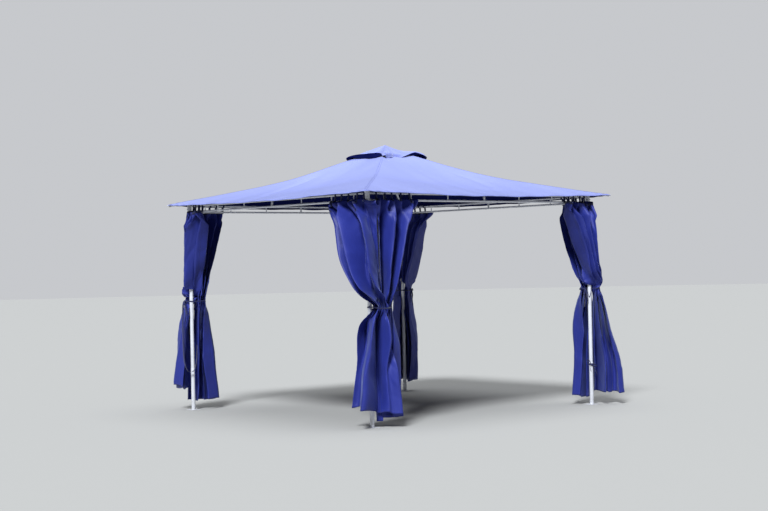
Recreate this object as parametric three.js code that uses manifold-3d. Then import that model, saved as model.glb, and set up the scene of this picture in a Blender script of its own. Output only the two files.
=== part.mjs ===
// Garden gazebo: four round posts, eave trusses of two tubes, bent hip rafters,
// a sagging fabric canopy with a vent cap, and eight curtains tied back to the posts.
// Millimetres, +Z up. The origin lies on the ground at the centre, the front faces -Y.
import * as THREE from "three";
import { mergeVertices } from "three/addons/utils/BufferGeometryUtils.js";
import Module from "manifold-3d";

const wasm = await Module();
wasm.setup();

// Driving dimensions
const HALF = 1420; // post centre to the middle of the gazebo, along X and Y
const EAVE = 1582; // canopy corner to the middle, along X and Y
const GAP = 0.3; // clearance between pieces that touch
const SLIDE = 0.8; // radial clearance of a stub in its tube

const POST_RADIUS = 20;
const POST_WALL = 1.2;
const SWAGE = 1; // how much smaller the upper post tube is
const POST_JOINT_Z = 415;
const POST_SPIGOT = 70;
const POST_TOP_Z = 2080;
const POST_CLEARANCE = 1; // between a post and the cloth round it

const FOOT_SIZE = 100;
const FOOT_PLATE = 3;
const FOOT_SPIGOT = 45;
const FOOT_SPIGOT_WALL = 2;
const PEG_HOLE_RADIUS = 5;
const PEG_HOLE_OFFSET = 36;

const RAIL_RADIUS = 9.5;
const RAIL_WALL = 1;
const LOWER_RAIL_Z = 2005;
const UPPER_RAIL_Z = 2065.5;
const SPACER_RADIUS = 5;
const SPACERS = [190, 510, 960]; // distances from the post
const END_PLATE = { thick: 3, wide: 20, over: 7 };

const HEAD_RADIUS = 22;
const HEAD_BOTTOM_Z = 1982;
const HEAD_SHOULDER_Z = 2094;
const HEAD_CROWN = 8; // height of the cap's bevel
const STUB_LENGTH = 62;
const TUBE_START = 2.5; // from a head or hub to the tube's end

const RAFTER_RADIUS = 11;
const RAFTER_WALL = 1.2;
const RAFTER_STUB = 80;
const OUTRIGGER_RADIUS = 8;
const HUB_RADIUS = 45;
const HUB_HALF_HEIGHT = 16;
const HUB_STUB = { from: 20, out: 50 }; // from the middle, and beyond the hub's rim

const SHEET = 4; // thickness of canopy and cap
const TIP_Z = 2078;
const BEND = 1120; // distance of the rafters' bend from the middle, along the diagonal
const LOWER_SLOPE = 0.172;
const UPPER_SLOPE = 0.265;
const RIDGE = 0.42; // how steeply the panels fall away to each side of a hip
const SAG = 139; // sag = SAG * s * (SAG_END - s), with s = 1 at the eave
const SAG_END = 1.2;
const SAG_SHAPE = 1.4;
const VENT = 250; // half the side of the vent opening

const CAP_FOLD = 283; // half the side of the cap, where its skirt turns down
const CAP_APEX_Z = 2616;
const CAP_FOLD_Z = 2515;
const CAP_SKIRT = { out: 8, down: 44, lift: 12 };
const CAP_SAG = 10;
const VENT_ARM_RADIUS = 5;
const VENT_BOSS_RADIUS = 14;
const VENT_BOSS_SINK = 1; // top of the boss below the arms' meeting point
const VENT_FOOT = 290; // distance of the vent frame's feet from the middle, along the diagonal
const VENT_FOOT_LIFT = 1.6; // clears the rafter under the foot's uphill edge

const CURTAIN_TOP_Z = 2018;
const CURTAIN_START = 25; // first fabric beside the post, along the rail
const CURTAIN_HALF_DEPTH = 22;
const PLEATS = 4;
const PLEAT_DEPTH = 0.14;
const TOP_FALL = 1.5; // how late a curtain draws in above its waist
const HEM_FALL = 0.65; // how soon it spreads below its waist
const CURTAIN_CLEARANCE = 1.5; // between the two curtains of a corner
// Where a curtain's sections lie, as shares of its height below and above the tied waist
const LEVELS = { below: [0, 0.3, 0.6, 0.85], above: [0.12, 0.35, 0.6, 0.85, 1] };
const OUTLINE = 20; // points round a curtain section
const BUNDLE_HALF_HEIGHT = 40;
const TIE = { height: 24, thick: 2, clear: 0.45 };

const UP = new THREE.Vector3(0, 0, 1);
const ROOT2 = Math.SQRT2;
const QUARTERS = [0, 1, 2, 3].map((i) => (i * Math.PI) / 2);
const TIP = EAVE * ROOT2;
const THIN_SIDES = 8; // of a thin bar
const POST_DIAGONAL = HALF * ROOT2;

// Half sides of the rings that the fabric roof is drawn through, and its steps along a side
const CANOPY_RINGS = [VENT, 400, 590, BEND / ROOT2, 1000, 1210, HALF, EAVE];
const CANOPY_STEPS = 8;
const CAP_RINGS = [1, CAP_FOLD / 2, CAP_FOLD, CAP_FOLD + CAP_SKIRT.out];
const CAP_STEPS = 6;

// How each corner's two curtains hang. The side curtain is on the rail along Y, the end curtain on
// the rail along X. Offsets are from the post centre, as [x, y]; hem heights are above the ground.
const CORNERS = [
  {
    name: "front_left",
    sx: -1,
    sy: -1,
    gather: 560,
    waist: { z: 1055, at: [80, -72], along: 205, across: 104 },
    pass: { side: [-46, -46], end: [0, -10] },
    hem: {
      side: { at: [-48, -52], along: 145, across: 44, z: 165 },
      end: { at: [124, -39], along: 135, across: 50, z: 70 },
    },
  },
  {
    name: "front_right",
    sx: 1,
    sy: -1,
    gather: 400,
    waist: { z: 1150, at: [50, 62], along: 120, across: 170 },
    pass: { side: [30, 20], end: [-40, 0] },
    hem: {
      side: { at: [72, -62], along: 36, across: 110, z: 150 },
      end: { at: [-18, 82], along: 38, across: 150, z: 75 },
    },
  },
  {
    name: "back_left",
    sx: -1,
    sy: 1,
    gather: 560,
    waist: { z: 1105, at: [75, 40], along: 120, across: 220 },
    pass: { side: [0, -50], end: [40, 10] },
    hem: {
      side: { at: [124, -10], along: 38, across: 150, z: 85 },
      end: { at: [-20, 66], along: 36, across: 120, z: 195 },
    },
  },
  {
    name: "back_right",
    sx: 1,
    sy: 1,
    gather: 440,
    waist: { z: 1140, at: [52, -48], along: 130, across: 120 },
    pass: { side: [20, -30], end: [-30, 20] },
    hem: {
      side: { at: [34, -92], along: 105, across: 50, z: 100 },
      end: { at: [-40, 80], along: 100, across: 46, z: 120 },
    },
  },
];

const STEEL = new THREE.MeshStandardMaterial({ color: 0xd4d6e2, metalness: 0.2, roughness: 0.45 });
const FABRIC = new THREE.MeshStandardMaterial({ color: 0x2b3484, metalness: 0, roughness: 0.85 });
const CAP_FABRIC = new THREE.MeshStandardMaterial({ color: 0x333c92, metalness: 0, roughness: 0.8 });

// Solids
function solidOf(geometry) {
  const plain = geometry.clone();
  plain.deleteAttribute("normal");
  plain.deleteAttribute("uv");
  const merged = mergeVertices(plain, 1e-3);
  const mesh = new wasm.Mesh({
    numProp: 3,
    vertProperties: merged.attributes.position.array,
    triVerts: new Uint32Array(merged.index.array),
  });
  return new wasm.Manifold(mesh);
}

function geometryOf(solid) {
  const { vertProperties, triVerts } = solid.getMesh();
  const geometry = new THREE.BufferGeometry();
  geometry.setAttribute("position", new THREE.BufferAttribute(vertProperties, 3));
  geometry.setIndex(new THREE.BufferAttribute(triVerts, 1));
  geometry.computeVertexNormals();
  return geometry;
}

const joined = (solids) => solids.reduce((all, one) => all.add(one));

// A turned piece about Z. The profile holds [radius, z] and closes on itself or ends on the axis.
function turned(profile, sides = 16) {
  const points = profile.map(([radius, z]) => new THREE.Vector2(radius, z));
  return new THREE.LatheGeometry(points, sides).rotateX(Math.PI / 2);
}

// A straight round bar between two points.
function bar(from, to, radius, sides = 10) {
  const start = new THREE.Vector3(...from);
  const axis = new THREE.Vector3(...to).sub(start);
  const length = axis.length();
  const turn = new THREE.Quaternion().setFromUnitVectors(new THREE.Vector3(0, 1, 0), axis.normalize());
  return new THREE.CylinderGeometry(radius, radius, length, sides)
    .translate(0, length / 2, 0)
    .applyQuaternion(turn)
    .translate(start.x, start.y, start.z);
}

function block(sizeX, sizeY, sizeZ, x, y, z) {
  return new THREE.BoxGeometry(sizeX, sizeY, sizeZ).translate(x, y, z);
}

// A closed surface through a stack of outlines that all have the same number of points.
function loft(outlines) {
  const count = outlines[0].length;
  const ends = [outlines[0], outlines.at(-1)];
  const middles = ends.map((ring) => {
    const sum = ring.reduce((total, p) => total.add(p), new THREE.Vector3());
    return sum.divideScalar(count);
  });
  const points = [...outlines.flat(), ...middles];
  const low = points.length - 2;
  const last = (outlines.length - 1) * count;
  const index = [];
  for (let i = 0; i < count; i++) {
    const j = (i + 1) % count;
    index.push(low, j, i, low + 1, last + i, last + j);
    for (let k = 0; k < last; k += count) {
      index.push(k + i, k + j, k + count + j, k + i, k + count + j, k + count + i);
    }
  }
  return new THREE.BufferGeometry().setFromPoints(points).setIndex(index);
}

// A closed surface through rings that run round its section and come back to the first one.
function closedRings(rings) {
  const count = rings[0].length;
  const index = [];
  rings.forEach((ring, k) => {
    const here = k * count;
    const next = ((k + 1) % rings.length) * count;
    for (let i = 0; i < count; i++) {
      const j = (i + 1) % count;
      index.push(here + i, here + j, next + j, here + i, next + j, next + i);
    }
  });
  return new THREE.BufferGeometry().setFromPoints(rings.flat()).setIndex(index);
}

// Points of a circle in order round its centre.
function circleRound(centre, radius, sides = 12) {
  return Array.from({ length: sides }, (_, i) => {
    const angle = (2 * Math.PI * i) / sides;
    return new THREE.Vector2(centre.x + radius * Math.cos(angle), centre.y + radius * Math.sin(angle));
  });
}

// A sheet of even thickness over a square, as rings round the middle, on its top and its underside.
// heightOf takes half the ring's side and the place along it, 0 at its middle and 1 at its corner.
function squareSheet(halfSides, heightOf, perSide) {
  const ring = (half, drop) => {
    const points = [];
    for (let side = 0; side < 4; side++) {
      for (let i = 0; i < perSide; i++) {
        const along = (2 * i) / perSide - 1;
        const point = new THREE.Vector3(half * along, -half, heightOf(half, Math.abs(along)) - drop);
        points.push(point.applyAxisAngle(UP, (side * Math.PI) / 2));
      }
    }
    return points;
  };
  const underside = halfSides.map((half) => ring(half, SHEET));
  const top = halfSides.map((half) => ring(half, 0)).reverse();
  return [...underside, ...top];
}

// Canopy form
function hipZ(diagonal) {
  const bendZ = TIP_Z + LOWER_SLOPE * (TIP - BEND);
  return diagonal > BEND ? TIP_Z + LOWER_SLOPE * (TIP - diagonal) : bendZ + UPPER_SLOPE * (BEND - diagonal);
}

function canopyZ(half, along) {
  const share = half / EAVE;
  const sag = SAG * share * (SAG_END - share);
  return hipZ(half * ROOT2) - sag * (1 - along ** SAG_SHAPE);
}

// The cap slopes evenly to its fold, which sags between the corners. Outside the fold is the skirt's hem.
function capZ(half, along) {
  const middle = 1 - along ** 2;
  const foldZ = CAP_FOLD_Z - CAP_SAG * middle;
  const hemZ = CAP_FOLD_Z - CAP_SKIRT.down + CAP_SKIRT.lift * middle;
  return half > CAP_FOLD ? hemZ : CAP_APEX_Z - ((CAP_APEX_Z - foldZ) * half) / CAP_FOLD;
}

// Height of the rafter's centre line under the canopy, at a distance from the middle along the diagonal.
function rafterZ(diagonal) {
  const slope = diagonal > BEND ? LOWER_SLOPE : UPPER_SLOPE;
  return hipZ(diagonal) - SHEET - GAP - RAFTER_RADIUS * Math.hypot(1, slope, RIDGE);
}

// Posts
function footPlate() {
  const plate = block(FOOT_SIZE, FOOT_SIZE, FOOT_PLATE, 0, 0, FOOT_PLATE / 2);
  const outside = POST_RADIUS - POST_WALL - GAP;
  const bore = outside - FOOT_SPIGOT_WALL;
  const spigot = turned([
    [bore, FOOT_PLATE / 2],
    [outside, FOOT_PLATE / 2],
    [outside, FOOT_PLATE + FOOT_SPIGOT],
    [bore, FOOT_PLATE + FOOT_SPIGOT],
    [bore, FOOT_PLATE / 2],
  ]);
  const holes = [-PEG_HOLE_OFFSET, PEG_HOLE_OFFSET].map((offset) =>
    solidOf(bar([offset, offset, -FOOT_PLATE], [offset, offset, 2 * FOOT_PLATE], PEG_HOLE_RADIUS)),
  );
  return geometryOf(solidOf(plate).add(solidOf(spigot)).subtract(joined(holes)));
}

function lowerPost() {
  const foot = FOOT_PLATE + GAP;
  const inside = POST_RADIUS - POST_WALL;
  return turned([
    [inside, foot],
    [POST_RADIUS, foot],
    [POST_RADIUS, POST_JOINT_Z],
    [inside, POST_JOINT_Z],
    [inside, foot],
  ]);
}

function upperPost() {
  const outside = POST_RADIUS - SWAGE;
  const spigot = POST_RADIUS - POST_WALL - GAP;
  const bore = outside - POST_WALL - SWAGE;
  return turned([
    [bore, POST_JOINT_Z - POST_SPIGOT],
    [spigot, POST_JOINT_Z - POST_SPIGOT],
    [spigot, POST_JOINT_Z + GAP],
    [outside, POST_JOINT_Z + GAP],
    [outside, POST_TOP_Z],
    [bore, POST_TOP_Z],
    [bore, POST_JOINT_Z - POST_SPIGOT],
  ]);
}

// Corner head: a capped sleeve over the post with stubs for two trusses, the rafter and the tip.
// It is made with its rafter stub along +X, so the trusses leave at 45 degrees to each side.
function cornerHead() {
  const sleeve = turned([
    [0, HEAD_BOTTOM_Z],
    [HEAD_RADIUS, HEAD_BOTTOM_Z],
    [HEAD_RADIUS, HEAD_SHOULDER_Z],
    [HEAD_RADIUS / 2, HEAD_SHOULDER_Z + HEAD_CROWN],
    [0, HEAD_SHOULDER_Z + HEAD_CROWN],
  ]);
  const reach = STUB_LENGTH / ROOT2;
  const stubs = [LOWER_RAIL_Z, UPPER_RAIL_Z].flatMap((z) =>
    [-reach, reach].map((y) => bar([0, 0, z], [reach, y, z], RAIL_RADIUS - RAIL_WALL - SLIDE)),
  );
  const at = (x) => rafterZ(POST_DIAGONAL - x);
  const rafterBore = RAFTER_RADIUS - RAFTER_WALL;
  const rafterStub = bar([0, 0, at(0)], [RAFTER_STUB, 0, at(RAFTER_STUB)], rafterBore - SLIDE);
  const lift = RAFTER_RADIUS - OUTRIGGER_RADIUS;
  const tip = POST_DIAGONAL - TIP + 2 * OUTRIGGER_RADIUS;
  const outrigger = bar([0, 0, at(0) + lift], [tip, 0, at(tip) + lift], OUTRIGGER_RADIUS);
  const boreRadius = POST_RADIUS - SWAGE + GAP;
  const bore = turned([
    [0, POST_JOINT_Z],
    [boreRadius, POST_JOINT_Z],
    [boreRadius, POST_TOP_Z + GAP],
    [0, POST_TOP_Z + GAP],
  ]);
  const solid = joined([sleeve, ...stubs, rafterStub, outrigger].map(solidOf));
  return geometryOf(solid.subtract(solidOf(bore)));
}

// Half of an eave truss: it starts beside the post at the origin and runs along +X to the middle.
function trussHalf() {
  const start = HEAD_RADIUS + TUBE_START;
  const end = HALF - GAP / 2;
  const inner = end - END_PLATE.thick;
  const plateX = end - END_PLATE.thick / 2;
  const rails = [LOWER_RAIL_Z, UPPER_RAIL_Z];
  const tubes = rails.map((z) => bar([start, 0, z], [plateX, 0, z], RAIL_RADIUS));
  const spacers = SPACERS.map((x) =>
    bar([x, 0, LOWER_RAIL_Z], [x, 0, UPPER_RAIL_Z], SPACER_RADIUS, THIN_SIDES),
  );
  const height = UPPER_RAIL_Z - LOWER_RAIL_Z + 2 * END_PLATE.over;
  const middleZ = (UPPER_RAIL_Z + LOWER_RAIL_Z) / 2;
  const plate = block(END_PLATE.thick, END_PLATE.wide, height, plateX, 0, middleZ);
  const bores = rails.map((z) =>
    bar([0, 0, z], [inner, 0, z], RAIL_RADIUS - RAIL_WALL),
  );
  const solid = joined([...tubes, ...spacers, plate].map(solidOf));
  return geometryOf(solid.subtract(joined(bores.map(solidOf))));
}

// Rafter: a bent tube along +X, from beside the post at the origin to the crown hub.
function rafter() {
  const ends = [HEAD_RADIUS + TUBE_START, POST_DIAGONAL - HUB_RADIUS - TUBE_START];
  const stations = [ends[0], POST_DIAGONAL - BEND, ends[1]];
  const ring = (x, radius) =>
    circleRound(new THREE.Vector2(0, rafterZ(POST_DIAGONAL - x)), radius).map(
      (point) => new THREE.Vector3(x, point.x, point.y),
    );
  const outside = stations.map((x) => ring(x, RAFTER_RADIUS));
  const inside = stations.map((x) => ring(x, RAFTER_RADIUS - RAFTER_WALL)).reverse();
  return closedRings([...outside, ...inside]);
}

function crownHub() {
  const z = rafterZ(HUB_RADIUS);
  const disc = turned([
    [0, z - HUB_HALF_HEIGHT],
    [HUB_RADIUS, z - HUB_HALF_HEIGHT],
    [HUB_RADIUS, z + HUB_HALF_HEIGHT],
    [0, z + HUB_HALF_HEIGHT],
  ]);
  const [from, to] = [HUB_STUB.from, HUB_RADIUS + HUB_STUB.out].map((x) => [x, 0, rafterZ(x)]);
  const stubs = QUARTERS.map((turn) => bar(from, to, RAFTER_RADIUS - RAFTER_WALL - SLIDE).rotateZ(turn));
  return geometryOf(joined([disc, ...stubs].map(solidOf))).rotateZ(Math.PI / 4);
}

// Frame that holds the vent cap up: a boss on the hub and four arms whose feet stand on the rafters.
function ventFrame() {
  const slope = (CAP_APEX_Z - CAP_FOLD_Z) / (CAP_FOLD * ROOT2);
  const under = SHEET + GAP + VENT_ARM_RADIUS * Math.hypot(1, slope, slope);
  const armZ = (diagonal) => CAP_APEX_Z - slope * diagonal - under;
  const hubTop = rafterZ(HUB_RADIUS) + HUB_HALF_HEIGHT + GAP;
  const boss = bar([0, 0, hubTop], [0, 0, armZ(0) - VENT_BOSS_SINK], VENT_BOSS_RADIUS);
  const footZ = rafterZ(VENT_FOOT) + RAFTER_RADIUS * Math.hypot(1, UPPER_SLOPE) + VENT_FOOT_LIFT;
  const knee = [VENT_FOOT, 0, armZ(VENT_FOOT)];
  const ends = [[0, 0, armZ(0)], [VENT_FOOT, 0, footZ]];
  const legs = QUARTERS.flatMap((turn) =>
    ends.map((end) => bar(knee, end, VENT_ARM_RADIUS, THIN_SIDES).rotateZ(turn)),
  );
  return geometryOf(joined([boss, ...legs].map(solidOf))).rotateZ(Math.PI / 4);
}

// Fabric roof
function canopy() {
  return closedRings(squareSheet(CANOPY_RINGS, canopyZ, CANOPY_STEPS));
}

function ventCap() {
  return loft(squareSheet(CAP_RINGS, capZ, CAP_STEPS));
}

// Curtains
const vector = ([x, y]) => new THREE.Vector2(x, y);

// One curtain's section at a height: its middle and its two half axes.
function curtainSection(corner, kind, z) {
  const side = kind === "side";
  const { sx, sy, waist } = corner;
  const along = side ? vector([0, -sy]) : vector([-sx, 0]);
  const outward = side ? vector([sx, 0]) : vector([0, sy]);
  const inward = vector([-sx, -sy]).normalize();
  const apart = vector(side ? [sx, -sy] : [-sx, sy]).normalize();
  const hem = corner.hem[kind];
  const standOff = RAIL_RADIUS + GAP + CURTAIN_HALF_DEPTH;
  const top = {
    at: along.clone().multiplyScalar(CURTAIN_START + corner.gather / 2).addScaledVector(outward, standOff),
    u: along.clone().multiplyScalar(corner.gather / 2),
    v: outward.clone().multiplyScalar(CURTAIN_HALF_DEPTH),
  };
  const tied = {
    at: vector(waist.at).addScaledVector(apart, waist.along / 4),
    u: inward.clone().multiplyScalar(waist.across / 2),
    v: apart.clone().multiplyScalar(waist.along / 4 - 1),
  };
  const bottom = {
    at: vector(hem.at),
    u: inward.clone().multiplyScalar(hem.across),
    v: apart.clone().multiplyScalar(hem.along),
  };
  const blend = (from, to, share, bulge) => ({
    at: from.at.clone().lerp(to.at, share).addScaledVector(vector(corner.pass[kind]), bulge),
    u: from.u.clone().lerp(to.u, share),
    v: from.v.clone().lerp(to.v, share),
  });
  const high = waist.z + BUNDLE_HALF_HEIGHT;
  const low = waist.z - BUNDLE_HALF_HEIGHT;
  if (z > high) {
    const fall = (CURTAIN_TOP_Z - z) / (CURTAIN_TOP_Z - high);
    return blend(top, tied, fall ** TOP_FALL, Math.sin(Math.PI * fall));
  }
  const fall = Math.max(0, low - z) / (low - hem.z);
  return blend(tied, bottom, fall ** HEM_FALL, 0);
}

function curtainOutline(corner, kind, z, grow) {
  const { at, u, v } = curtainSection(corner, kind, z);
  const ulen = u.length();
  const vlen = v.length();
  const points = [];
  for (let i = 0; i < OUTLINE; i++) {
    const angle = (2 * Math.PI * i) / OUTLINE;
    const across = Math.cos(angle);
    const pleat = 1 - PLEAT_DEPTH * (0.5 - 0.5 * Math.cos(PLEATS * Math.PI * across));
    const a = across * (1 + grow / ulen);
    const b = Math.sin(angle) * (pleat + grow / vlen);
    points.push(new THREE.Vector3(at.x + a * u.x + b * v.x, at.y + a * u.y + b * v.y, z));
  }
  const turnsLeft = u.x * v.y - u.y * v.x > 0;
  return turnsLeft ? points : points.reverse();
}

function curtainLoft(corner, kind, grow = 0) {
  const { waist, hem } = corner;
  const bottom = hem[kind].z;
  const high = waist.z + BUNDLE_HALF_HEIGHT;
  const low = waist.z - BUNDLE_HALF_HEIGHT;
  const below = LEVELS.below.map((share) => bottom + share * (low - bottom));
  const above = LEVELS.above.map((share) => high + share * (CURTAIN_TOP_Z - high));
  const levels = [...below, low, high, ...above];
  return solidOf(loft(levels.map((z) => curtainOutline(corner, kind, z, grow))));
}

function curtains(corner) {
  const post = solidOf(bar([0, 0, 0], [0, 0, POST_TOP_Z], POST_RADIUS + POST_CLEARANCE, 16));
  const side = curtainLoft(corner, "side").subtract(post);
  const besideIt = curtainLoft(corner, "side", CURTAIN_CLEARANCE);
  const end = curtainLoft(corner, "end").subtract(besideIt).subtract(post);
  return { side: geometryOf(side), end: geometryOf(end) };
}

// The points of a cloud that lie on its convex outline, in order round it.
function convexOutline(points) {
  const sorted = [...points].sort((p, q) => p.x - q.x || p.y - q.y);
  const turn = (o, a, b) => (a.x - o.x) * (b.y - o.y) - (a.y - o.y) * (b.x - o.x);
  const chain = (list) => {
    const kept = [];
    for (const p of list) {
      while (kept.length > 1 && turn(kept.at(-2), kept.at(-1), p) <= 0) kept.pop();
      kept.push(p);
    }
    return kept.slice(0, -1);
  };
  return [...chain(sorted), ...chain(sorted.reverse())];
}

// Ribbon round the post and both curtains at their waist.
function tieback(corner) {
  const { z } = corner.waist;
  const outlines = ["side", "end"].flatMap((kind) => curtainOutline(corner, kind, z, 0));
  const post = circleRound(new THREE.Vector2(), POST_RADIUS + POST_CLEARANCE);
  const bundle = [...outlines, ...post];
  const around = (clear) => convexOutline(bundle.flatMap((point) => circleRound(point, clear)));
  const section = new THREE.Shape(around(TIE.clear + TIE.thick));
  section.holes.push(new THREE.Path(around(TIE.clear).reverse()));
  const band = new THREE.ExtrudeGeometry(section, { depth: TIE.height, bevelEnabled: false });
  return band.translate(0, 0, z - TIE.height / 2);
}

// Assembly
const gazebo = new THREE.Group();

function place(name, geometry, material, turn = 0, x = 0, y = 0) {
  const mesh = new THREE.Mesh(geometry, material);
  mesh.name = name;
  mesh.position.set(x, y, 0);
  mesh.rotation.z = turn;
  gazebo.add(mesh);
}

const piece = {
  foot: footPlate(),
  lower: lowerPost(),
  upper: upperPost(),
  head: cornerHead(),
  truss: trussHalf(),
  rafter: rafter(),
};

for (const corner of CORNERS) {
  const { name, sx, sy } = corner;
  const x = sx * HALF;
  const y = sy * HALF;
  const inward = Math.atan2(-sy, -sx);
  const alongX = sx < 0 ? 0 : Math.PI;
  const alongY = -sy * (Math.PI / 2);
  const [end, side] = name.split("_");
  place(`foot_plate_${name}`, piece.foot, STEEL, 0, x, y);
  place(`post_lower_${name}`, piece.lower, STEEL, 0, x, y);
  place(`post_upper_${name}`, piece.upper, STEEL, 0, x, y);
  place(`corner_head_${name}`, piece.head, STEEL, inward, x, y);
  place(`truss_${end}_${side}_half`, piece.truss, STEEL, alongX, x, y);
  place(`truss_${side}_${end}_half`, piece.truss, STEEL, alongY, x, y);
  place(`rafter_${name}`, piece.rafter, STEEL, inward, x, y);
  const hung = curtains(corner);
  place(`curtain_${name}_side`, hung.side, FABRIC, 0, x, y);
  place(`curtain_${name}_end`, hung.end, FABRIC, 0, x, y);
  place(`tieback_${name}`, tieback(corner), FABRIC, 0, x, y);
}
place("crown_hub", crownHub(), STEEL);
place("vent_frame", ventFrame(), STEEL);
place("canopy", canopy(), CAP_FABRIC);
place("vent_cap", ventCap(), CAP_FABRIC);

export default gazebo;
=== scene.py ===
import math

import bmesh
import bpy
import numpy as np
from mathutils import Matrix, Vector, noise
from mathutils.bvhtree import BVHTree


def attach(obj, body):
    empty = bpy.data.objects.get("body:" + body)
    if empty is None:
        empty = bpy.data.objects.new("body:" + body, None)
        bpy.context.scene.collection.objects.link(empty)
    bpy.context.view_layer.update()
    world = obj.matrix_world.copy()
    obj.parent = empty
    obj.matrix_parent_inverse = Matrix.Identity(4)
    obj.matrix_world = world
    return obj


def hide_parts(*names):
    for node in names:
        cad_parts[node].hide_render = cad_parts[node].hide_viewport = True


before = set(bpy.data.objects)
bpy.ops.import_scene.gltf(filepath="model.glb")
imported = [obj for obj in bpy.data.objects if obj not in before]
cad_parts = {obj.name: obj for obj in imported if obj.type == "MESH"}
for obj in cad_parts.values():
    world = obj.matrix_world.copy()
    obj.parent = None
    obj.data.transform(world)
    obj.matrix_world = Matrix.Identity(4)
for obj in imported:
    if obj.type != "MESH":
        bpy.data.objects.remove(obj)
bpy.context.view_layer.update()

# Garden gazebo, in metres, +Z up. The sizes repeat those of the CAD source.
HALF = 1.42  # post centre to the middle, along X and Y
EAVE = 1.582  # canopy corner to the middle, along X and Y
TIP = EAVE * math.sqrt(2)
POST_DIAGONAL = HALF * math.sqrt(2)

POST_RADIUS = 0.020
POST_WALL = 0.0012
SWAGE = 0.001  # how much thinner a post's upper tube is than its lower one
POST_FOOT_Z = 0.0033  # on the foot plate
POST_JOINT_Z = 0.415
POST_SPIGOT = 0.070
POST_TOP_Z = 2.080

RAIL_RADIUS = 0.0095
RAIL_WALL = 0.001
LOWER_RAIL_Z = 2.005
UPPER_RAIL_Z = 2.0655
SPACERS = (0.190, 0.510, 0.960)  # from the post centre, along each half of a truss
SPACER_RADIUS = 0.005
SPACER_SLEEVE = 0.0012  # how much thicker a spacer is at its ends

HEAD_RADIUS = 0.022
HEAD_BOTTOM_Z = 1.982
HEAD_SHOULDER_Z = 2.094

RAFTER_RADIUS = 0.011
RAFTER_WALL = 0.0012
HUB_RADIUS = 0.045
HUB_HALF_HEIGHT = 0.016
OUTRIGGER_RADIUS = 0.008

TIP_Z = 2.078
BEND = 1.120  # where the rafters bend, along the diagonal
LOWER_SLOPE = 0.172
UPPER_SLOPE = 0.265
RIDGE = 0.42  # slope of the cloth on both sides of a hip
SHEET = 0.004  # of the roof's solid, which the rafters lie under
GAP = 0.0003
SAG = 0.139
SAG_END = 1.2  # share of the eave at which the sag would end
SAG_SHAPE = 1.4
BRIDGE = 0.24  # how far before and after a bend the cloth leaves the hip
VENT = 0.125  # half the side of the opening under the cap
CROWN_RISE = {"by": 0.030, "from": 0.72, "to": 0.22}  # how the hips steepen near the crown, along the diagonal

CAP_APEX = (0.0, 0.0, 2.633)
ARM_RADIUS = 0.005
ARM_REACH = 0.200
ARM_START_Z = 2.588
ARM_TIPS_Z = {"back_left": 2.555, "front_left": 2.558, "front_right": 2.532, "back_right": 2.558}
LEG_REACH = 0.150

TUBE_START = 0.0025  # from a head or hub to a tube's end
END_PLATE = {"thick": 0.003, "wide": 0.020, "over": 0.007}
TAPE_WIDTH = 0.024  # as it is cut
TIE_WIDTH = 0.012  # of a tieback's tape where it is drawn tight
TAPE_THICK = 0.0014

CURTAIN_TOP_Z = 2.018
CURTAIN_WIDTH = 1.30  # of one curtain's flat cloth
CURTAIN_LENGTH = 1.96
HEM = 0.028
SIDE_HEM = 0.026
ROOF_HEM = 0.022
HIP_SEAM = 0.017  # how far from a hip its seam's stitched edge shows
STITCH_WIDTH = 0.0012
CURTAIN_THREAD = 0.0009
ROOF_THREAD = 0.0007
CLOTH = 0.0012  # thickness of the cloth

CORNERS = {"front_left": (-1, -1), "front_right": (1, -1), "back_left": (-1, 1), "back_right": (1, 1)}
KINDS = ("side", "end")  # a corner's curtains, on its rail along Y and on its rail along X
RAIL_OF = {"end": 0, "side": 1}  # which of the two that rail_directions gives

# Camera
CAMERA_PLACE = (-10.389, -12.270, 1.436)
CAMERA_YAW = math.radians(49.87)  # from +X towards +Y
CAMERA_PITCH = math.radians(0.31)
CAMERA_ROLL = math.radians(-1.22)
CAMERA_LENS = 74.95  # mm, on a 36 mm wide sensor
EYE_RIGHT = np.array((math.sin(CAMERA_YAW), -math.cos(CAMERA_YAW)))
EYE_NEAR = np.array((-math.cos(CAMERA_YAW), -math.sin(CAMERA_YAW)))


# A place in plan, to the right and towards the camera's side as the camera sees it.
def from_eye(right, near):
    return right * EYE_RIGHT + near * EYE_NEAR


# Puts new data into the scene as an object that sits at the origin.
def add_object(name, data):
    made = bpy.data.objects.new(name, data)
    bpy.context.scene.collection.objects.link(made)
    return made


def make_camera():
    forward = Vector((
        math.cos(CAMERA_YAW) * math.cos(CAMERA_PITCH),
        math.sin(CAMERA_YAW) * math.cos(CAMERA_PITCH),
        math.sin(CAMERA_PITCH),
    ))
    level = Vector((math.sin(CAMERA_YAW), -math.cos(CAMERA_YAW), 0))
    upright = level.cross(forward)
    right = level * math.cos(CAMERA_ROLL) + upright * math.sin(CAMERA_ROLL)
    up = upright * math.cos(CAMERA_ROLL) - level * math.sin(CAMERA_ROLL)
    data = bpy.data.cameras.new("camera")
    data.lens = CAMERA_LENS
    data.clip_end = 200
    camera = add_object("camera", data)
    turn = Matrix((right, up, -forward)).transposed().to_4x4()
    camera.matrix_world = Matrix.Translation(CAMERA_PLACE) @ turn
    bpy.context.scene.camera = camera


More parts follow.
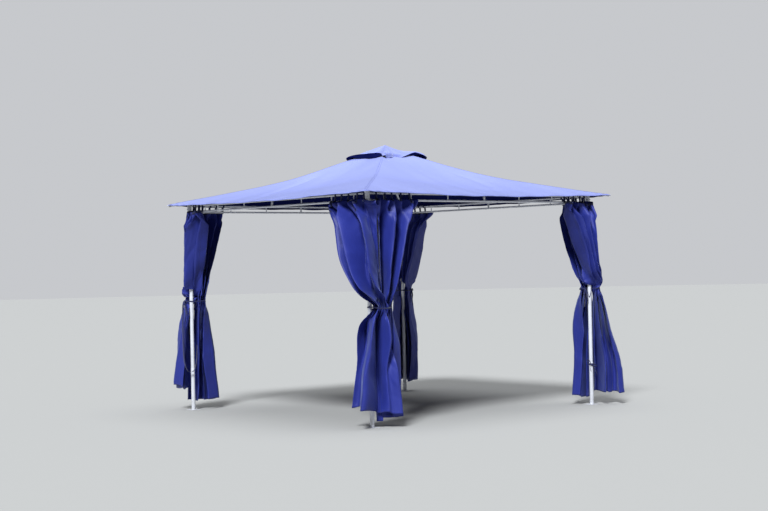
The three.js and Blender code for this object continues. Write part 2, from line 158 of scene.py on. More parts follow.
# Node materials
class Value:
    """A number that varies over a surface. Its operators add Math nodes."""

    def __init__(self, finish, socket):
        self.finish = finish
        self.socket = socket

    def _math(self, operation, first, second):
        return self.finish.node("ShaderNodeMath", {"operation": operation}, {0: first, 1: second})

    def __add__(self, other):
        return self._math("ADD", self, other)

    def __radd__(self, other):
        return self._math("ADD", other, self)

    def __sub__(self, other):
        return self._math("SUBTRACT", self, other)

    def __rsub__(self, other):
        return self._math("SUBTRACT", other, self)

    def __mul__(self, other):
        return self._math("MULTIPLY", self, other)

    def __rmul__(self, other):
        return self._math("MULTIPLY", other, self)

    def __abs__(self):
        return self.finish.node("ShaderNodeMath", {"operation": "ABSOLUTE"}, {0: self})

    def __lt__(self, other):
        return self._math("LESS_THAN", self, other)


class Finish:
    """A material with a Principled shader, to which nodes are added one call at a time."""

    def __init__(self, name, **sockets):
        self.material = bpy.data.materials.new(name)
        self.material.use_nodes = True
        self.tree = self.material.node_tree
        self.shader = self.tree.nodes["Principled BSDF"]
        self.feed(self.shader, {key.replace("_", " "): value for key, value in sockets.items()})

    def feed(self, node, sockets):
        for key, value in sockets.items():
            if isinstance(value, Value):
                self.tree.links.new(value.socket, node.inputs[key])
            else:
                node.inputs[key].default_value = value

    def node(self, kind, settings, sockets, output=0):
        made = self.tree.nodes.new(kind)
        for key, value in settings.items():
            if key == "stops":
                self.set_stops(made.color_ramp, value)
            else:
                setattr(made, key, value)
        self.feed(made, sockets)
        return Value(self, made.outputs[output])

    def set_stops(self, ramp, stops):
        while len(ramp.elements) < len(stops):
            ramp.elements.new(1)
        for element, (position, color) in zip(ramp.elements, stops):
            element.position = position
            element.color = (*color, 1)

    def place(self):
        return self.node("ShaderNodeTexCoord", {}, {}, "Object")

    def cloth(self):
        return self.node("ShaderNodeUVMap", {"uv_map": "cloth"}, {})

    def split(self, vector):
        made = self.node("ShaderNodeSeparateXYZ", {}, {0: vector}).socket.node
        return [Value(self, made.outputs[i]) for i in range(3)]

    # Its scale is in lumps to the metre.
    def noise(self, vector, scale, detail=2, stretch=(1, 1, 1)):
        scaled = self.node("ShaderNodeMapping", {}, {"Vector": vector, "Scale": stretch})
        return self.node("ShaderNodeTexNoise", {}, {"Vector": scaled, "Scale": scale, "Detail": detail})

    def wave(self, vector, scale, direction):
        settings = {"wave_type": "BANDS", "bands_direction": direction, "wave_profile": "SIN"}
        return self.node("ShaderNodeTexWave", settings, {"Vector": vector, "Scale": scale}, "Fac")

    def ramp(self, value, stops):
        return self.node("ShaderNodeValToRGB", {"stops": stops}, {"Fac": value})

    def range(self, value, low, high):
        return self.node("ShaderNodeMapRange", {}, {"Value": value, "From Min": low, "From Max": high})

    def mix(self, share, first, second):
        first_color, second_color, mixed = 6, 7, 2  # the colour sockets of a Mix node
        sockets = {"Factor": share, first_color: first, second_color: second}
        return self.node("ShaderNodeMix", {"data_type": "RGBA"}, sockets, mixed)

    def bump(self, height, distance, strength=1.0):
        sockets = {"Height": height, "Distance": distance, "Strength": strength}
        return self.node("ShaderNodeBump", {}, sockets)

    def finished(self, sockets):
        self.feed(self.shader, sockets)
        return self.material


def color(red, green, blue):
    return (red, green, blue, 1)


# Satin light grey powder coat: orange peel, faint mottling, soil near the ground and rubbed ends.
def steel_finish():
    f = Finish("powder_coated_steel", Specular_IOR_Level=0.5, Coat_Weight=0.15, Coat_Roughness=0.25)
    place = f.place()
    _, _, z = f.split(place)
    mottle = f.noise(place, 14, 3)
    coat = f.ramp(mottle, [(0.3, (0.66, 0.68, 0.75)), (0.7, (0.74, 0.76, 0.83))])
    soil = f.range(z, 0.16, 0.0) * f.range(f.noise(place, 45, 4), 0.35, 0.75)
    soiled = f.mix(soil * 0.55, coat, color(0.24, 0.22, 0.16))
    scuffs = f.range(f.noise(place, 60, 4, (1, 1, 0.12)), 0.70, 0.76)
    return f.finished({
        "Base Color": f.mix(scuffs * 0.35, soiled, color(0.36, 0.37, 0.40)),
        "Roughness": 0.30 + 0.12 * mottle + 0.25 * soil,
        "Metallic": 0.25 * scuffs,
        "Normal": f.bump(f.noise(place, 900, 2), 0.00006),
    })


# Zinc-plated bolts and nuts.
def zinc_finish():
    f = Finish("zinc", Metallic=1.0)
    place = f.place()
    dull = f.noise(place, 220, 3)
    return f.finished({
        "Base Color": f.ramp(dull, [(0.3, (0.42, 0.43, 0.45)), (0.7, (0.62, 0.63, 0.66))]),
        "Roughness": 0.28 + 0.25 * dull,
        "Normal": f.bump(dull, 0.00005),
    })


# Milky plastic of the curtain hooks.
def hook_finish():
    f = Finish("milky_plastic", Subsurface_Weight=0.1, Coat_Weight=0.2)
    place = f.place()
    cloud = f.noise(place, 160, 2)
    return f.finished({
        "Base Color": f.ramp(cloud, [(0.3, (0.62, 0.64, 0.68)), (0.7, (0.78, 0.80, 0.84))]),
        "Roughness": 0.3 + 0.15 * cloud,
        "Normal": f.bump(f.noise(place, 700, 2), 0.00004),
    })


# Height of a plain weave, from the cloth's own flat coordinates in metres.
def weave(f, cloth, pitch):
    bands = 1 / (math.tau * pitch) * math.pi  # the wave texture's own measure
    return f.wave(cloth, bands, "X") * 0.5 + f.wave(cloth, bands, "Y") * 0.5


# Curtain cloth: matt navy polyester with slubs, soft creases from its folds and stitched hems.
def curtain_finish():
    f = Finish("navy_curtain_cloth", Specular_IOR_Level=0.38, Sheen_Weight=0.15, Sheen_Roughness=0.4,
               Sheen_Tint=color(0.50, 0.60, 1.0))
    cloth = f.cloth()
    place = f.place()
    u, v, _ = f.split(cloth)
    cloud = f.noise(place, 2.2, 3)
    slubs = f.noise(cloth, 260, 2, (1, 0.05, 1))
    tone = cloud * 0.7 + slubs * 0.3
    ground = f.ramp(tone, [(0.32, (0.011, 0.019, 0.185)), (0.68, (0.019, 0.031, 0.260))])
    edge = CURTAIN_WIDTH / 2 - abs(u - CURTAIN_WIDTH / 2)
    near_hem = (v < HEM) + (edge < SIDE_HEM)
    seam = (abs(v - HEM) < STITCH_WIDTH) + (abs(edge - SIDE_HEM) < STITCH_WIDTH)
    creases = f.noise(cloth, 9, 4, (1, 0.45, 1))
    height = weave(f, cloth, CURTAIN_THREAD) * 0.12 + creases * 4.0 + near_hem * 0.8 - seam * 0.6
    return f.finished({
        "Base Color": f.mix(seam * 0.5, ground, color(0.010, 0.014, 0.12)),
        "Roughness": 0.48 + 0.14 * cloud,
        "Normal": f.bump(height, 0.001, 0.8),
    })


# Roof cloth: the same polyester with a coating, unevenly faded in streaks. Its colour is painted much paler than the
# curtains' same cloth, standing for the sky light and sheen that its top catches. It has a seam along each hip and a
# hem.
def roof_finish():
    f = Finish("coated_roof_cloth", Specular_IOR_Level=0.2, Sheen_Weight=0.8, Sheen_Roughness=0.35,
               Sheen_Tint=color(0.72, 0.78, 1.0))
    cloth = f.cloth()
    place = f.place()
    cloud = f.noise(place, 1.3, 3)
    streaks = f.noise(cloth, 5, 4, (1, 0.12, 1))
    tone = cloud * 0.6 + streaks * 0.4
    # painted sky light and sheen: pale lavender tones, where the cloth itself is the curtains' navy
    ground = f.ramp(tone, [(0.3, (0.225, 0.262, 0.60)), (0.7, (0.275, 0.318, 0.70))])
    creases = f.noise(cloth, 7, 5)
    x, y, _ = f.split(place)
    hip = abs(abs(x) - abs(y)) < HIP_SEAM
    half = f.node("ShaderNodeMath", {"operation": "MAXIMUM"}, {0: abs(x), 1: abs(y)})
    hem = f.range(half, EAVE - ROOF_HEM, EAVE - ROOF_HEM + 0.0005)
    height = weave(f, cloth, ROOF_THREAD) * 0.1 + creases * 2.5 + (hip + hem) * 0.4
    return f.finished({
        "Base Color": f.mix(0.06 * hip + 0.10 * hem, ground, color(0.11, 0.13, 0.42)),
        "Roughness": 0.64 + 0.16 * streaks,
        "Normal": f.bump(height, 0.001, 0.6),
    })


# The roof cloth's underside. Its colour is painted near black, darker than the cloth itself, for the deep shade under
# the roof.
def lining_finish():
    f = Finish("roof_cloth_underside", Specular_IOR_Level=0.0)
    cloth = f.cloth()
    cloud = f.noise(f.place(), 1.7, 3)
    return f.finished({
        # painted shade: near black tones for the shade under the roof
        "Base Color": f.ramp(cloud, [(0.3, (0.004, 0.006, 0.050)), (0.7, (0.007, 0.010, 0.075))]),
        "Roughness": 0.85 + 0.1 * cloud,
        "Normal": f.bump(weave(f, cloth, ROOF_THREAD) * 0.1, 0.001, 0.6),
    })


# Navy sewing thread.
def thread_finish():
    f = Finish("navy_thread", Specular_IOR_Level=0.4)
    twist = f.noise(f.place(), 900, 1)
    return f.finished({
        "Base Color": f.ramp(twist, [(0.3, (0.022, 0.028, 0.15)), (0.7, (0.045, 0.055, 0.24))]),
        "Roughness": 0.45 + 0.2 * twist,
        "Normal": f.bump(twist, 0.0001),
    })


# Dark woven tape of the ties, straps and tiebacks.
def tape_finish():
    f = Finish("navy_tape", Specular_IOR_Level=0.3, Sheen_Weight=0.2)
    cloth = f.cloth()
    ribs = f.wave(cloth, 260, "Y")
    cloud = f.noise(f.place(), 30, 2)
    return f.finished({
        "Base Color": f.ramp(cloud, [(0.3, (0.006, 0.009, 0.055)), (0.7, (0.012, 0.017, 0.095))]),
        "Roughness": 0.6 + 0.15 * cloud,
        "Normal": f.bump(ribs, 0.0003, 0.6),
    })


# Meshes
UP = Vector((0, 0, 1))


# The point that each corner of a mesh's faces is at.
def loop_points(mesh):
    points = np.empty(len(mesh.loops), int)
    mesh.loops.foreach_get("vertex_index", points)
    return points


# A smooth piece; the flat cut of its cloth, where it has one, is its UV map.
def add_mesh(name, points, faces, materials, uvs=None):
    mesh = bpy.data.meshes.new(name)
    mesh.from_pydata([tuple(p) for p in points], [], [tuple(int(i) for i in f) for f in faces])
    for material in materials:
        mesh.materials.append(material)
    if uvs is not None:
        layer = mesh.uv_layers.new(name="cloth")
        layer.data.foreach_set("uv", np.asarray(uvs, float)[loop_points(mesh)].ravel())
    mesh.polygons.foreach_set("use_smooth", [True] * len(mesh.polygons))
    mesh.update()
    return add_object(name, mesh)


# Makes a piece part of the gazebo, in place of the CAD nodes named.
def settle(piece, slot, *nodes):
    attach(piece, "root")
    if nodes:
        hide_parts(*nodes)
    return piece


# Quads between neighbouring rows of a grid, whose rows are numbered one after the other.
def grid_faces(rows, columns, closed=False):
    last = columns if closed else columns - 1
    index = np.arange(rows * columns).reshape(rows, columns)
    here, there = index[:-1, :], index[1:, :]
    i = np.arange(last)
    j = (i + 1) % columns
    quads = np.stack([here[:, i], here[:, j], there[:, j], there[:, i]], axis=-1)
    return quads.reshape(-1, 4)


# Keeps edges sharper than an angle crisp.
def shade_edges(piece, degrees):
    with bpy.context.temp_override(object=piece, selected_editable_objects=[piece]):
        bpy.ops.object.shade_smooth_by_angle(angle=math.radians(degrees))


# Gives cloth or tape its thickness, outwards or inwards by offset; inner counts up to its inside's material.
def thicken(piece, thickness, offset=0, inner=0):
    solid = piece.modifiers.new("thickness", "SOLIDIFY")
    solid.thickness = thickness
    solid.offset = offset
    solid.material_offset = inner


class Solid:
    """Points and faces of rigid shapes, gathered for one piece."""

    def __init__(self):
        self.points = []
        self.faces = []

    # Rings of equal size, joined one to the next; the last joins the first if looped, else ends are capped.
    def rings(self, rings, looped=False):
        count = len(rings[0])
        start = len(self.points)
        for ring in rings:
            self.points.extend(ring)
        steps = len(rings) if looped else len(rings) - 1
        for k in range(steps):
            here, there = start + k * count, start + ((k + 1) % len(rings)) * count
            for i in range(count):
                j = (i + 1) % count
                self.faces.append((here + i, here + j, there + j, there + i))
        if not looped:
            last = start + (len(rings) - 1) * count
            self.faces.append(tuple(start + i for i in reversed(range(count))))
            self.faces.append(tuple(last + i for i in range(count)))

    # A turned shape about an upright axis. The profile holds (radius, z), upwards on the outside.
    def turned(self, profile, centre=(0, 0), sides=32, looped=False):
        angles = [math.tau * i / sides for i in range(sides)]
        self.rings([
            [Vector((centre[0] + r * math.cos(a), centre[1] + r * math.sin(a), z)) for a in angles]
            for r, z in profile
        ], looped)

    # A round rod or, with a wall, an open tube along points.
    def rod(self, path, radius, wall=0.0, sides=24):
        path = [Vector(p) for p in path]
        outside = swept(path, radius, sides)
        if wall:
            self.rings(outside + swept(path, radius - wall, sides)[::-1], looped=True)
        else:
            self.rings(outside)

    # A block with its edges broken, about its centre and along its own axes.
    def block(self, centre, size, axes, edge=0.0006):
        half = [s / 2 for s in size]
        outline = [(-1, -1), (1, -1), (1, 1), (-1, 1)]
        levels = [(-half[2], edge), (edge - half[2], 0), (half[2] - edge, 0), (half[2], edge)]
        self.rings([
            [
                centre + axes[0] * (x * (half[0] - inset)) + axes[1] * (y * (half[1] - inset)) + axes[2] * z
                for x, y in outline
            ]
            for z, inset in levels
        ])

    def piece(self, name, material):
        made = add_mesh(name, self.points, self.faces, [material])
        bm = bmesh.new()
        bm.from_mesh(made.data)
        bmesh.ops.recalc_face_normals(bm, faces=bm.faces)
        bm.to_mesh(made.data)
        bm.free()
        shade_edges(made, 35)
        return made


# Rings round a path, each square to it, without twist from one to the next.
def swept(path, radius, sides):
    rings = []
    side = None
    for i, point in enumerate(path):
        ahead = (path[min(i + 1, len(path) - 1)] - path[max(i - 1, 0)]).normalized()
        if side is None:
            side = ahead.orthogonal().normalized()
        side = (side - ahead * side.dot(ahead)).normalized()
        other = ahead.cross(side)
        r = radius[i] if isinstance(radius, (list, tuple)) else radius
        rings.append([
            point + side * (r * math.cos(math.tau * k / sides)) + other * (r * math.sin(math.tau * k / sides))
            for k in range(sides)
        ])
    return rings


# Roof form
def smooth_step(t):
    t = np.clip(t, 0, 1)
    return t * t * (3 - 2 * t)


# Height of a hip, at a distance from the middle along the diagonal.
def hip_z(diagonal):
    bend_z = TIP_Z + LOWER_SLOPE * (TIP - BEND)
    lower = TIP_Z + LOWER_SLOPE * (TIP - diagonal)
    start, end = CROWN_RISE["from"], CROWN_RISE["to"]
    rise = CROWN_RISE["by"] * smooth_step((start - diagonal) / (start - end))
    return np.where(diagonal > BEND, lower, bend_z + UPPER_SLOPE * (BEND - diagonal)) + rise


# Height of the roof cloth, which bridges the rafters' bend; along is 0 at mid side and 1 at the hip.
def roof_z(half, along):
    share = half / EAVE
    sag = SAG * share * (SAG_END - share)
    diagonal = half * math.sqrt(2)
    bridged = np.mean([hip_z(diagonal + step) for step in np.linspace(-BRIDGE, BRIDGE, 9)], axis=0)
    return bridged - sag * (1 - along ** SAG_SHAPE)


# Middle of the rafter's tube under the canopy.
def rafter_z(diagonal):
    slope = LOWER_SLOPE if diagonal > BEND else UPPER_SLOPE
    return float(hip_z(diagonal)) - SHEET - GAP - RAFTER_RADIUS * math.hypot(1, slope, RIDGE)


# Repeatable smooth noise at an array of points, from -1 to 1, with so many lumps to the metre.
def drift(points, scale, seed):
    shift = Vector((seed * 7.3, seed * 3.1, seed * 5.7))
    flat = np.asarray(points, float).reshape(-1, 3)
    values = [noise.noise(Vector(p) * scale + shift) for p in flat]
    return np.array(values).reshape(np.asarray(points).shape[:-1])


ROOF_ROWS = 58
ROOF_STEPS = 56  # along one side
ROOF_ALONG = np.linspace(-1, 1, ROOF_STEPS, endpoint=False)  # of each step, from one hip to the next
QUARTER = [(1, 0), (0, 1), (-1, 0), (0, -1)]  # cosine and sine of each quarter turn
EAVE_HEM = 0.009  # turned down round the eave
EAVE_LIFT = {"by": 0.006, "start": 0.9}  # of the left eave, which is drawn less tight, most at its back end
PULLS = {"deep": 0.002, "waves": 4.5}  # folds that the tips pull into the cloth
SLACKS = {"deep": 0.003, "waves": 1.75}  # folds of the slack at mid side
BUMPS = ((0.0035, 2.6, 1), (0.0012, 9.0, 2))  # unevenness all over: height, lumps to the metre, seed
FACE_CREASE = {"deep": 0.011, "half_width": 0.045, "start": 0.28, "over": 0.20}  # the last two, shares of the eave
DRAWN_FLAT = {"by": 0.85, "start": 1.24, "over": 0.14}  # of those creases, over the eave's tube
CRUMPLE = {"high": 0.0022, "reach": 0.35, "waves": 55}  # at the corners
ROOF_STITCH = {"pitch": 0.0075, "from_hip": 0.009}


# Places of one long crease on each face, as shares of its half width, from the crown to the eave.
CREASE_ROUTES = (
    (0.70, 0.60, 0.42, 0.22, 0.05), (-0.55, -0.42, -0.28, -0.12, -0.02),
    (0.60, 0.48, 0.33, 0.15, 0.04), (-0.66, -0.55, -0.42, -0.25, -0.12),
)


# Height of the roof cloth with its small slack folds: pulled from the tips, and loose at mid side.
def slack_roof_z(half):
    tip = half / EAVE
    side = np.abs(ROOF_ALONG)
    pull = PULLS["deep"] * np.sin(2 * PULLS["waves"] * side * tip * math.pi) * tip ** 2 * (1 - side ** 6)
    slack = SLACKS["deep"] * np.cos(2 * SLACKS["waves"] * math.pi * ROOF_ALONG) * tip ** 6 * (1 - ROOF_ALONG ** 2)
    return roof_z(half, side) + (pull + slack)


# Square rings of points round the middle, from the vent to the eave.
def roof_rings(halves):
    rows = []
    for half in halves:
        z = slack_roof_z(half)
        x, y = half * ROOF_ALONG, np.full_like(ROOF_ALONG, -half)
        ring = [np.stack([c * x - s * y, s * x + c * y, z], axis=-1) for c, s in QUARTER]
        rows.append(np.concatenate(ring))
    return np.array(rows)


# Long soft creases down each face, and small crumples by the tips, where the cloth is drawn to the corners.
def crease_roof(points, halves):
    for face, route in enumerate(CREASE_ROUTES):
        columns = slice(face * ROOF_STEPS, (face + 1) * ROOF_STEPS)
        here = np.interp(halves, np.linspace(0.30, 1, 5) * EAVE, route)[:, None]
        across = (ROOF_ALONG[None, :] - here) * halves[:, None]
        grown = smooth_step((halves / EAVE - FACE_CREASE["start"]) / FACE_CREASE["over"])
        drawn = smooth_step((halves - DRAWN_FLAT["start"]) / DRAWN_FLAT["over"])
        depth = (FACE_CREASE["deep"] * grown * (1 - DRAWN_FLAT["by"] * drawn))[:, None]
        points[:, columns, 2] -= depth * np.exp(-np.abs(across) / FACE_CREASE["half_width"])
    x, y = np.abs(points[:, :, 0]), np.abs(points[:, :, 1])
    corner = np.exp(-((np.hypot(EAVE - x, EAVE - y)) / CRUMPLE["reach"]) ** 2)
    points[:, :, 2] += CRUMPLE["high"] * corner * np.sin((x + y) * CRUMPLE["waves"] + 3 * drift(points, 5, 7))


# Rows of stitches on the roof cloth: two along each hip, and round the eave and the vent.
def roof_seams(points):
    seams = []
    spacing = np.linalg.norm(points[:, 1] - points[:, 0], axis=1)
    share = np.minimum(ROOF_STITCH["from_hip"] * math.sqrt(2) / spacing, 0.9)[:, None]
    columns = points.shape[1]
    for hip in range(0, columns, ROOF_STEPS):
        for beside in (1, -1):
            seams.append(points[:, hip] * (1 - share) + points[:, (hip + beside) % columns] * share)
    for edge, inner, part in ((-1, -2, 0.7), (0, 1, 0.3)):
        line = points[edge] * (1 - part) + points[inner] * part
        seams.append(np.concatenate([line, line[:1]]))
    return seams


# Makes the canopy, and gives its surface for the vent cap to rest on.
def make_canopy():
    halves = VENT + (EAVE - VENT) * np.linspace(0, 1, ROOF_ROWS)
    points = roof_rings(halves)
    flat = points.reshape(-1, 3)
    flat[:, 2] += sum(height * drift(flat * (1, 1, 0), scale, seed) for height, scale, seed in BUMPS)
    crease_roof(points, halves)
    left, front = (
        smooth_step((-points[:, :, axis] - EAVE_LIFT["start"]) / over) for axis, over in ((0, 0.65), (1, 0.6))
    )
    points[:, :, 2] += EAVE_LIFT["by"] * left * (1 - 0.6 * front)
    seams = roof_seams(points)
    points = np.concatenate([points, points[-1:] * (0.9995, 0.9995, 1) - (0, 0, EAVE_HEM)])
    halves = np.append(halves, EAVE + EAVE_HEM)
    flat = points.reshape(-1, 3)
    rows, columns = points.shape[:2]
    down = np.hypot(halves - VENT, halves * 0.3)
    across = np.tile(ROOF_ALONG, 4)
    uvs = np.stack([halves[:, None] * across[None, :], np.repeat(down[:, None], columns, axis=1)], axis=-1)
    faces = grid_faces(rows, columns, closed=True)
    canopy = add_mesh("canopy_cloth", flat, faces[:, ::-1], [ROOF, LINING], uvs.reshape(-1, 2))
    finish_roof_cloth(canopy, "canopy")
    stitches = make_stitches("canopy_stitches", seams, ROOF_STITCH["pitch"], "roof_fabric")
    return BVHTree.FromPolygons(flat.tolist(), faces.tolist())


# Turns a roof cloth's faces so that their fronts look up, and gives it its thickness and its underside.
def finish_roof_cloth(piece, node):
    mesh = piece.data
    if sum(face.normal.z * face.area for face in mesh.polygons) < 0:
        mesh.flip_normals()
    thicken(piece, CLOTH, offset=-1, inner=1)
    settle(piece, "roof_fabric", node)


# Vent cap
# Its edge, and the ring inside it where the cloth leaves its arms or touches the roof, going round from the
# corner on the camera's left over the one nearest to it. Points are as in from_eye, and up.
CAP_EDGE = [
    (-0.397, -0.040, 2.510), (-0.310, 0.005, 2.541), (-0.200, 0.100, 2.545), (-0.060, 0.300, 2.535),
    (0.000, 0.370, 2.494), (0.095, 0.190, 2.480), (0.190, 0.125, 2.508), (0.300, 0.030, 2.551),
    (0.418, 0.000, 2.503), (0.345, -0.085, 2.450), (0.240, -0.200, 2.440), (0.140, -0.310, 2.440),
    (0.036, -0.400, 2.440), (-0.090, -0.300, 2.440), (-0.210, -0.200, 2.440), (-0.320, -0.110, 2.450),
]
CAP_RING = [
    (-0.262, 0.000, 2.547), (-0.215, 0.030, 2.515), (-0.160, 0.080, 2.505), (-0.085, 0.210, 2.505),
    (0.000, 0.304, 2.560), (0.070, 0.150, 2.556), (0.150, 0.080, 2.553), (0.235, 0.015, 2.535),
    (0.304, 0.000, 2.562), (0.228, -0.076, 2.540), (0.152, -0.152, 2.535), (0.076, -0.228, 2.540),
    (0.000, -0.304, 2.550), (-0.076, -0.228, 2.535), (-0.152, -0.152, 2.530), (-0.228, -0.076, 2.525),
]
CAP_COLUMNS = 128
CAP_ROWS = 30
CAP_TURN = 0.6  # share of the way down at which the cloth passes its ring
CAP_SAG = {"deep": 0.022, "reach": 0.6}  # down to the camera's right corner; reach in eighths of the way round
CAP_FOLDS = {"high": 0.013, "sideways": 0.010, "place": 2.08, "reach": 0.34, "turn": 17.0}  # over the nearest corner
CAP_UNEVEN = {"high": 0.004, "scale": 11, "seed": 4}
CAP_POINT = 0.0045  # how much its first ring is below its top
CAP_CLEAR = 0.0025  # of the roof that it rests on


# Smooth curve between two points, a share of the way from here to after, led by the points on both sides of them.
def led_curve(before, here, after, then, share):
    return 0.5 * (
        2 * here + (after - before) * share + (2 * before - 5 * here + 4 * after - then) * share ** 2
        + (3 * here - before - 3 * after + then) * share ** 3
    )


# Curve that goes round through points and closes.
def loop_through(points, count):
    size = len(points)
    t = np.linspace(0, size, count, endpoint=False)
    i = t.astype(int)
    return led_curve(*(points[(i + k) % size] for k in (-1, 0, 1, 2)), (t - i)[:, None])


def cap_grid(roof):
    edge, ring = (np.array([(*from_eye(r, n), z) for r, n, z in points]) for points in (CAP_EDGE, CAP_RING))
    eighth = np.arange(CAP_COLUMNS) / (CAP_COLUMNS // 8)
    i = (2 * eighth).astype(int)
    share = (2 * eighth - i)[:, None]
    ring = ring[i] * (1 - share) + ring[(i + 1) % len(ring)] * share
    edge = loop_through(edge, CAP_COLUMNS)
    apex = np.array(CAP_APEX)
    sag = CAP_SAG["deep"] * np.exp(-((eighth - 4) / CAP_SAG["reach"]) ** 2)
    rows = []
    for s in np.linspace(0.02, 1, CAP_ROWS):
        down, past = min(s / CAP_TURN, 1), (s - CAP_TURN) / (1 - CAP_TURN)
        row = apex + (ring - apex) * down
        row[:, 2] -= math.sin(math.pi * down) * sag
        if past > 0:  # first on in the same direction, then more and more towards the edge
            lean = ring + (ring - apex) * (s / CAP_TURN - 1)
            turned = smooth_step(past)
            row = (ring + (edge - ring) * past) * turned + lean * (1 - turned)
        rows.append(row)
    grid = np.array(rows)
    grid[0, :, 2] = apex[2] - CAP_POINT
    down = np.linspace(0, 1, CAP_ROWS)[:, None]
    bunch = np.exp(-((eighth - CAP_FOLDS["place"]) / CAP_FOLDS["reach"]) ** 2)
    folds = np.sin(eighth * CAP_FOLDS["turn"])[None, :] * bunch[None, :] * down ** 1.5
    uneven = CAP_UNEVEN["high"] * drift(grid, CAP_UNEVEN["scale"], CAP_UNEVEN["seed"]) * down
    grid[:, :, 2] += CAP_FOLDS["high"] * folds + uneven
    grid[:, :, :2] += CAP_FOLDS["sideways"] * folds[:, :, None] * EYE_RIGHT
    for point in grid.reshape(-1, 3):  # the cap rests on the roof where it would sink into it
        below = roof.ray_cast(Vector((point[0], point[1], 3)), -UP)[0]
        if below:
            point[2] = max(point[2], below.z + CAP_CLEAR)
    return grid


def make_cap(roof):
    across = np.linspace(0, 2.4, CAP_COLUMNS)
    down = np.linspace(0, 0.42, CAP_ROWS)
    uvs = np.stack(np.meshgrid(across, down), axis=-1).reshape(-1, 2)
    faces = grid_faces(CAP_ROWS, CAP_COLUMNS, closed=True).tolist()
    points = np.concatenate([cap_grid(roof).reshape(-1, 3), [CAP_APEX]])
    top = len(points) - 1
    faces += [(top, (i + 1) % CAP_COLUMNS, i) for i in range(CAP_COLUMNS)]
    uvs = np.concatenate([uvs, [(0.5, -0.01)]])
    cap = add_mesh("vent_cap_cloth", points, faces, [ROOF, LINING], uvs)
    finish_roof_cloth(cap, "vent_cap")


# Frame
def post_place(corner, z=0.0):
    sx, sy = CORNERS[corner]
    return Vector((sx * HALF, sy * HALF, z))


def post_plan(corner):
    return np.array(CORNERS[corner]) * HALF


def inward(corner):
    sx, sy = CORNERS[corner]
    return Vector((-sx, -sy, 0)).normalized()


# Directions of a corner's rails, the one along X and the one along Y: away from the post, and outwards.
def rail_directions(corner):
    sx, sy = CORNERS[corner]
    x, y = Vector((sx, 0, 0)), Vector((0, sy, 0))
    return (-x, y), (-y, x)


RAILS_Z = (LOWER_RAIL_Z, UPPER_RAIL_Z)
STUB_RADIUS = RAFTER_RADIUS - 0.002  # of what a rafter's ends slide over
BOSS_RADIUS = 0.014
POST_SIDES = 40
# Where bolt heads and hooks are seated, and the directions that they face.
BOLTS = []
HOOKS = []


# The lower tube has a bead and a spring button under its joint; the upper one is swaged to slide into it.
def make_posts(corner):
    centre = post_place(corner)[:2]
    r, wall, joint = POST_RADIUS, POST_WALL, POST_JOINT_Z
    bead = r + 0.0007
    lower = Solid()
    lower.turned([
        (r - wall, POST_FOOT_Z), (r - 0.0003, POST_FOOT_Z), (r, POST_FOOT_Z + 0.0006), (r, joint - 0.009),
        (bead, joint - 0.006), (bead, joint - 0.002), (r, joint), (r - wall, joint),
    ], centre, POST_SIDES, looped=True)
    out = -inward(corner)
    button = post_place(corner, joint - 0.035) + out * (r - 0.001)
    lower.rod([button + out * d for d in (0, 0.0025, 0.0038, 0.0043)], [0.004, 0.004, 0.0028, 0.0008], sides=20)
    settle(lower.piece(f"post_tube_lower_{corner}", STEEL), "steel", f"post_lower_{corner}")
    outside, spigot = r - SWAGE, r - wall - GAP
    bore = outside - wall - SWAGE
    upper = Solid()
    upper.turned([
        (bore, joint - POST_SPIGOT), (spigot, joint - POST_SPIGOT), (spigot, joint + 0.004),
        (outside - 0.0004, joint + 0.009), (outside, joint + 0.011), (outside, POST_TOP_Z), (bore, POST_TOP_Z),
    ], centre, POST_SIDES, looped=True)
    settle(upper.piece(f"post_tube_upper_{corner}", STEEL), "steel", f"post_upper_{corner}")


# A capped sleeve with a stub for each of four tubes and for the rafter, and an arm under the canopy's tip.
def make_head(corner):
    bore, r, shoulder = POST_RADIUS - SWAGE + GAP, HEAD_RADIUS, HEAD_SHOULDER_Z
    solid = Solid()
    solid.turned([
        (0, POST_TOP_Z + GAP), (bore, POST_TOP_Z + GAP), (bore, HEAD_BOTTOM_Z), (r - 0.0006, HEAD_BOTTOM_Z),
        (r, HEAD_BOTTOM_Z + 0.0006), (r, shoulder - 0.003), (r - 0.001, shoulder), (r * 0.8, shoulder + 0.0045),
        (r * 0.4, shoulder + 0.0072), (0, shoulder + 0.008),
    ], post_place(corner)[:2], POST_SIDES)
    for ahead, outward in rail_directions(corner):
        for z in RAILS_Z:
            root = post_place(corner, z)
            solid.rod([root + ahead * d for d in (0.012, 0.0625)], RAIL_RADIUS - RAIL_WALL - 0.0008)
            solid.rod([root + ahead * d for d in (0.018, 0.0225, 0.0235)], [RAIL_RADIUS, RAIL_RADIUS, 0.0082])
            BOLTS.append((root + ahead * 0.043 + outward * RAIL_RADIUS, outward))
    arm = inward(corner)
    root = post_place(corner, rafter_z(POST_DIAGONAL))
    lift = Vector((0, 0, RAFTER_RADIUS - OUTRIGGER_RADIUS))
    solid.rod([root, post_place(corner, rafter_z(POST_DIAGONAL - 0.08)) + arm * 0.08], STUB_RADIUS)
    reach = POST_DIAGONAL - TIP + 2 * OUTRIGGER_RADIUS
    end = post_place(corner, rafter_z(POST_DIAGONAL - reach)) + arm * reach + lift
    start = root + lift
    slope = (end - start).normalized()
    radii = [OUTRIGGER_RADIUS, OUTRIGGER_RADIUS, 0.0068, 0.004]
    solid.rod([start, end - slope * 0.004, end - slope * 0.001, end], radii)
    BOLTS.append((post_place(corner, 2.034) - arm * HEAD_RADIUS, -arm))
    settle(solid.piece(f"corner_head_steel_{corner}", STEEL), "steel", f"corner_head_{corner}")


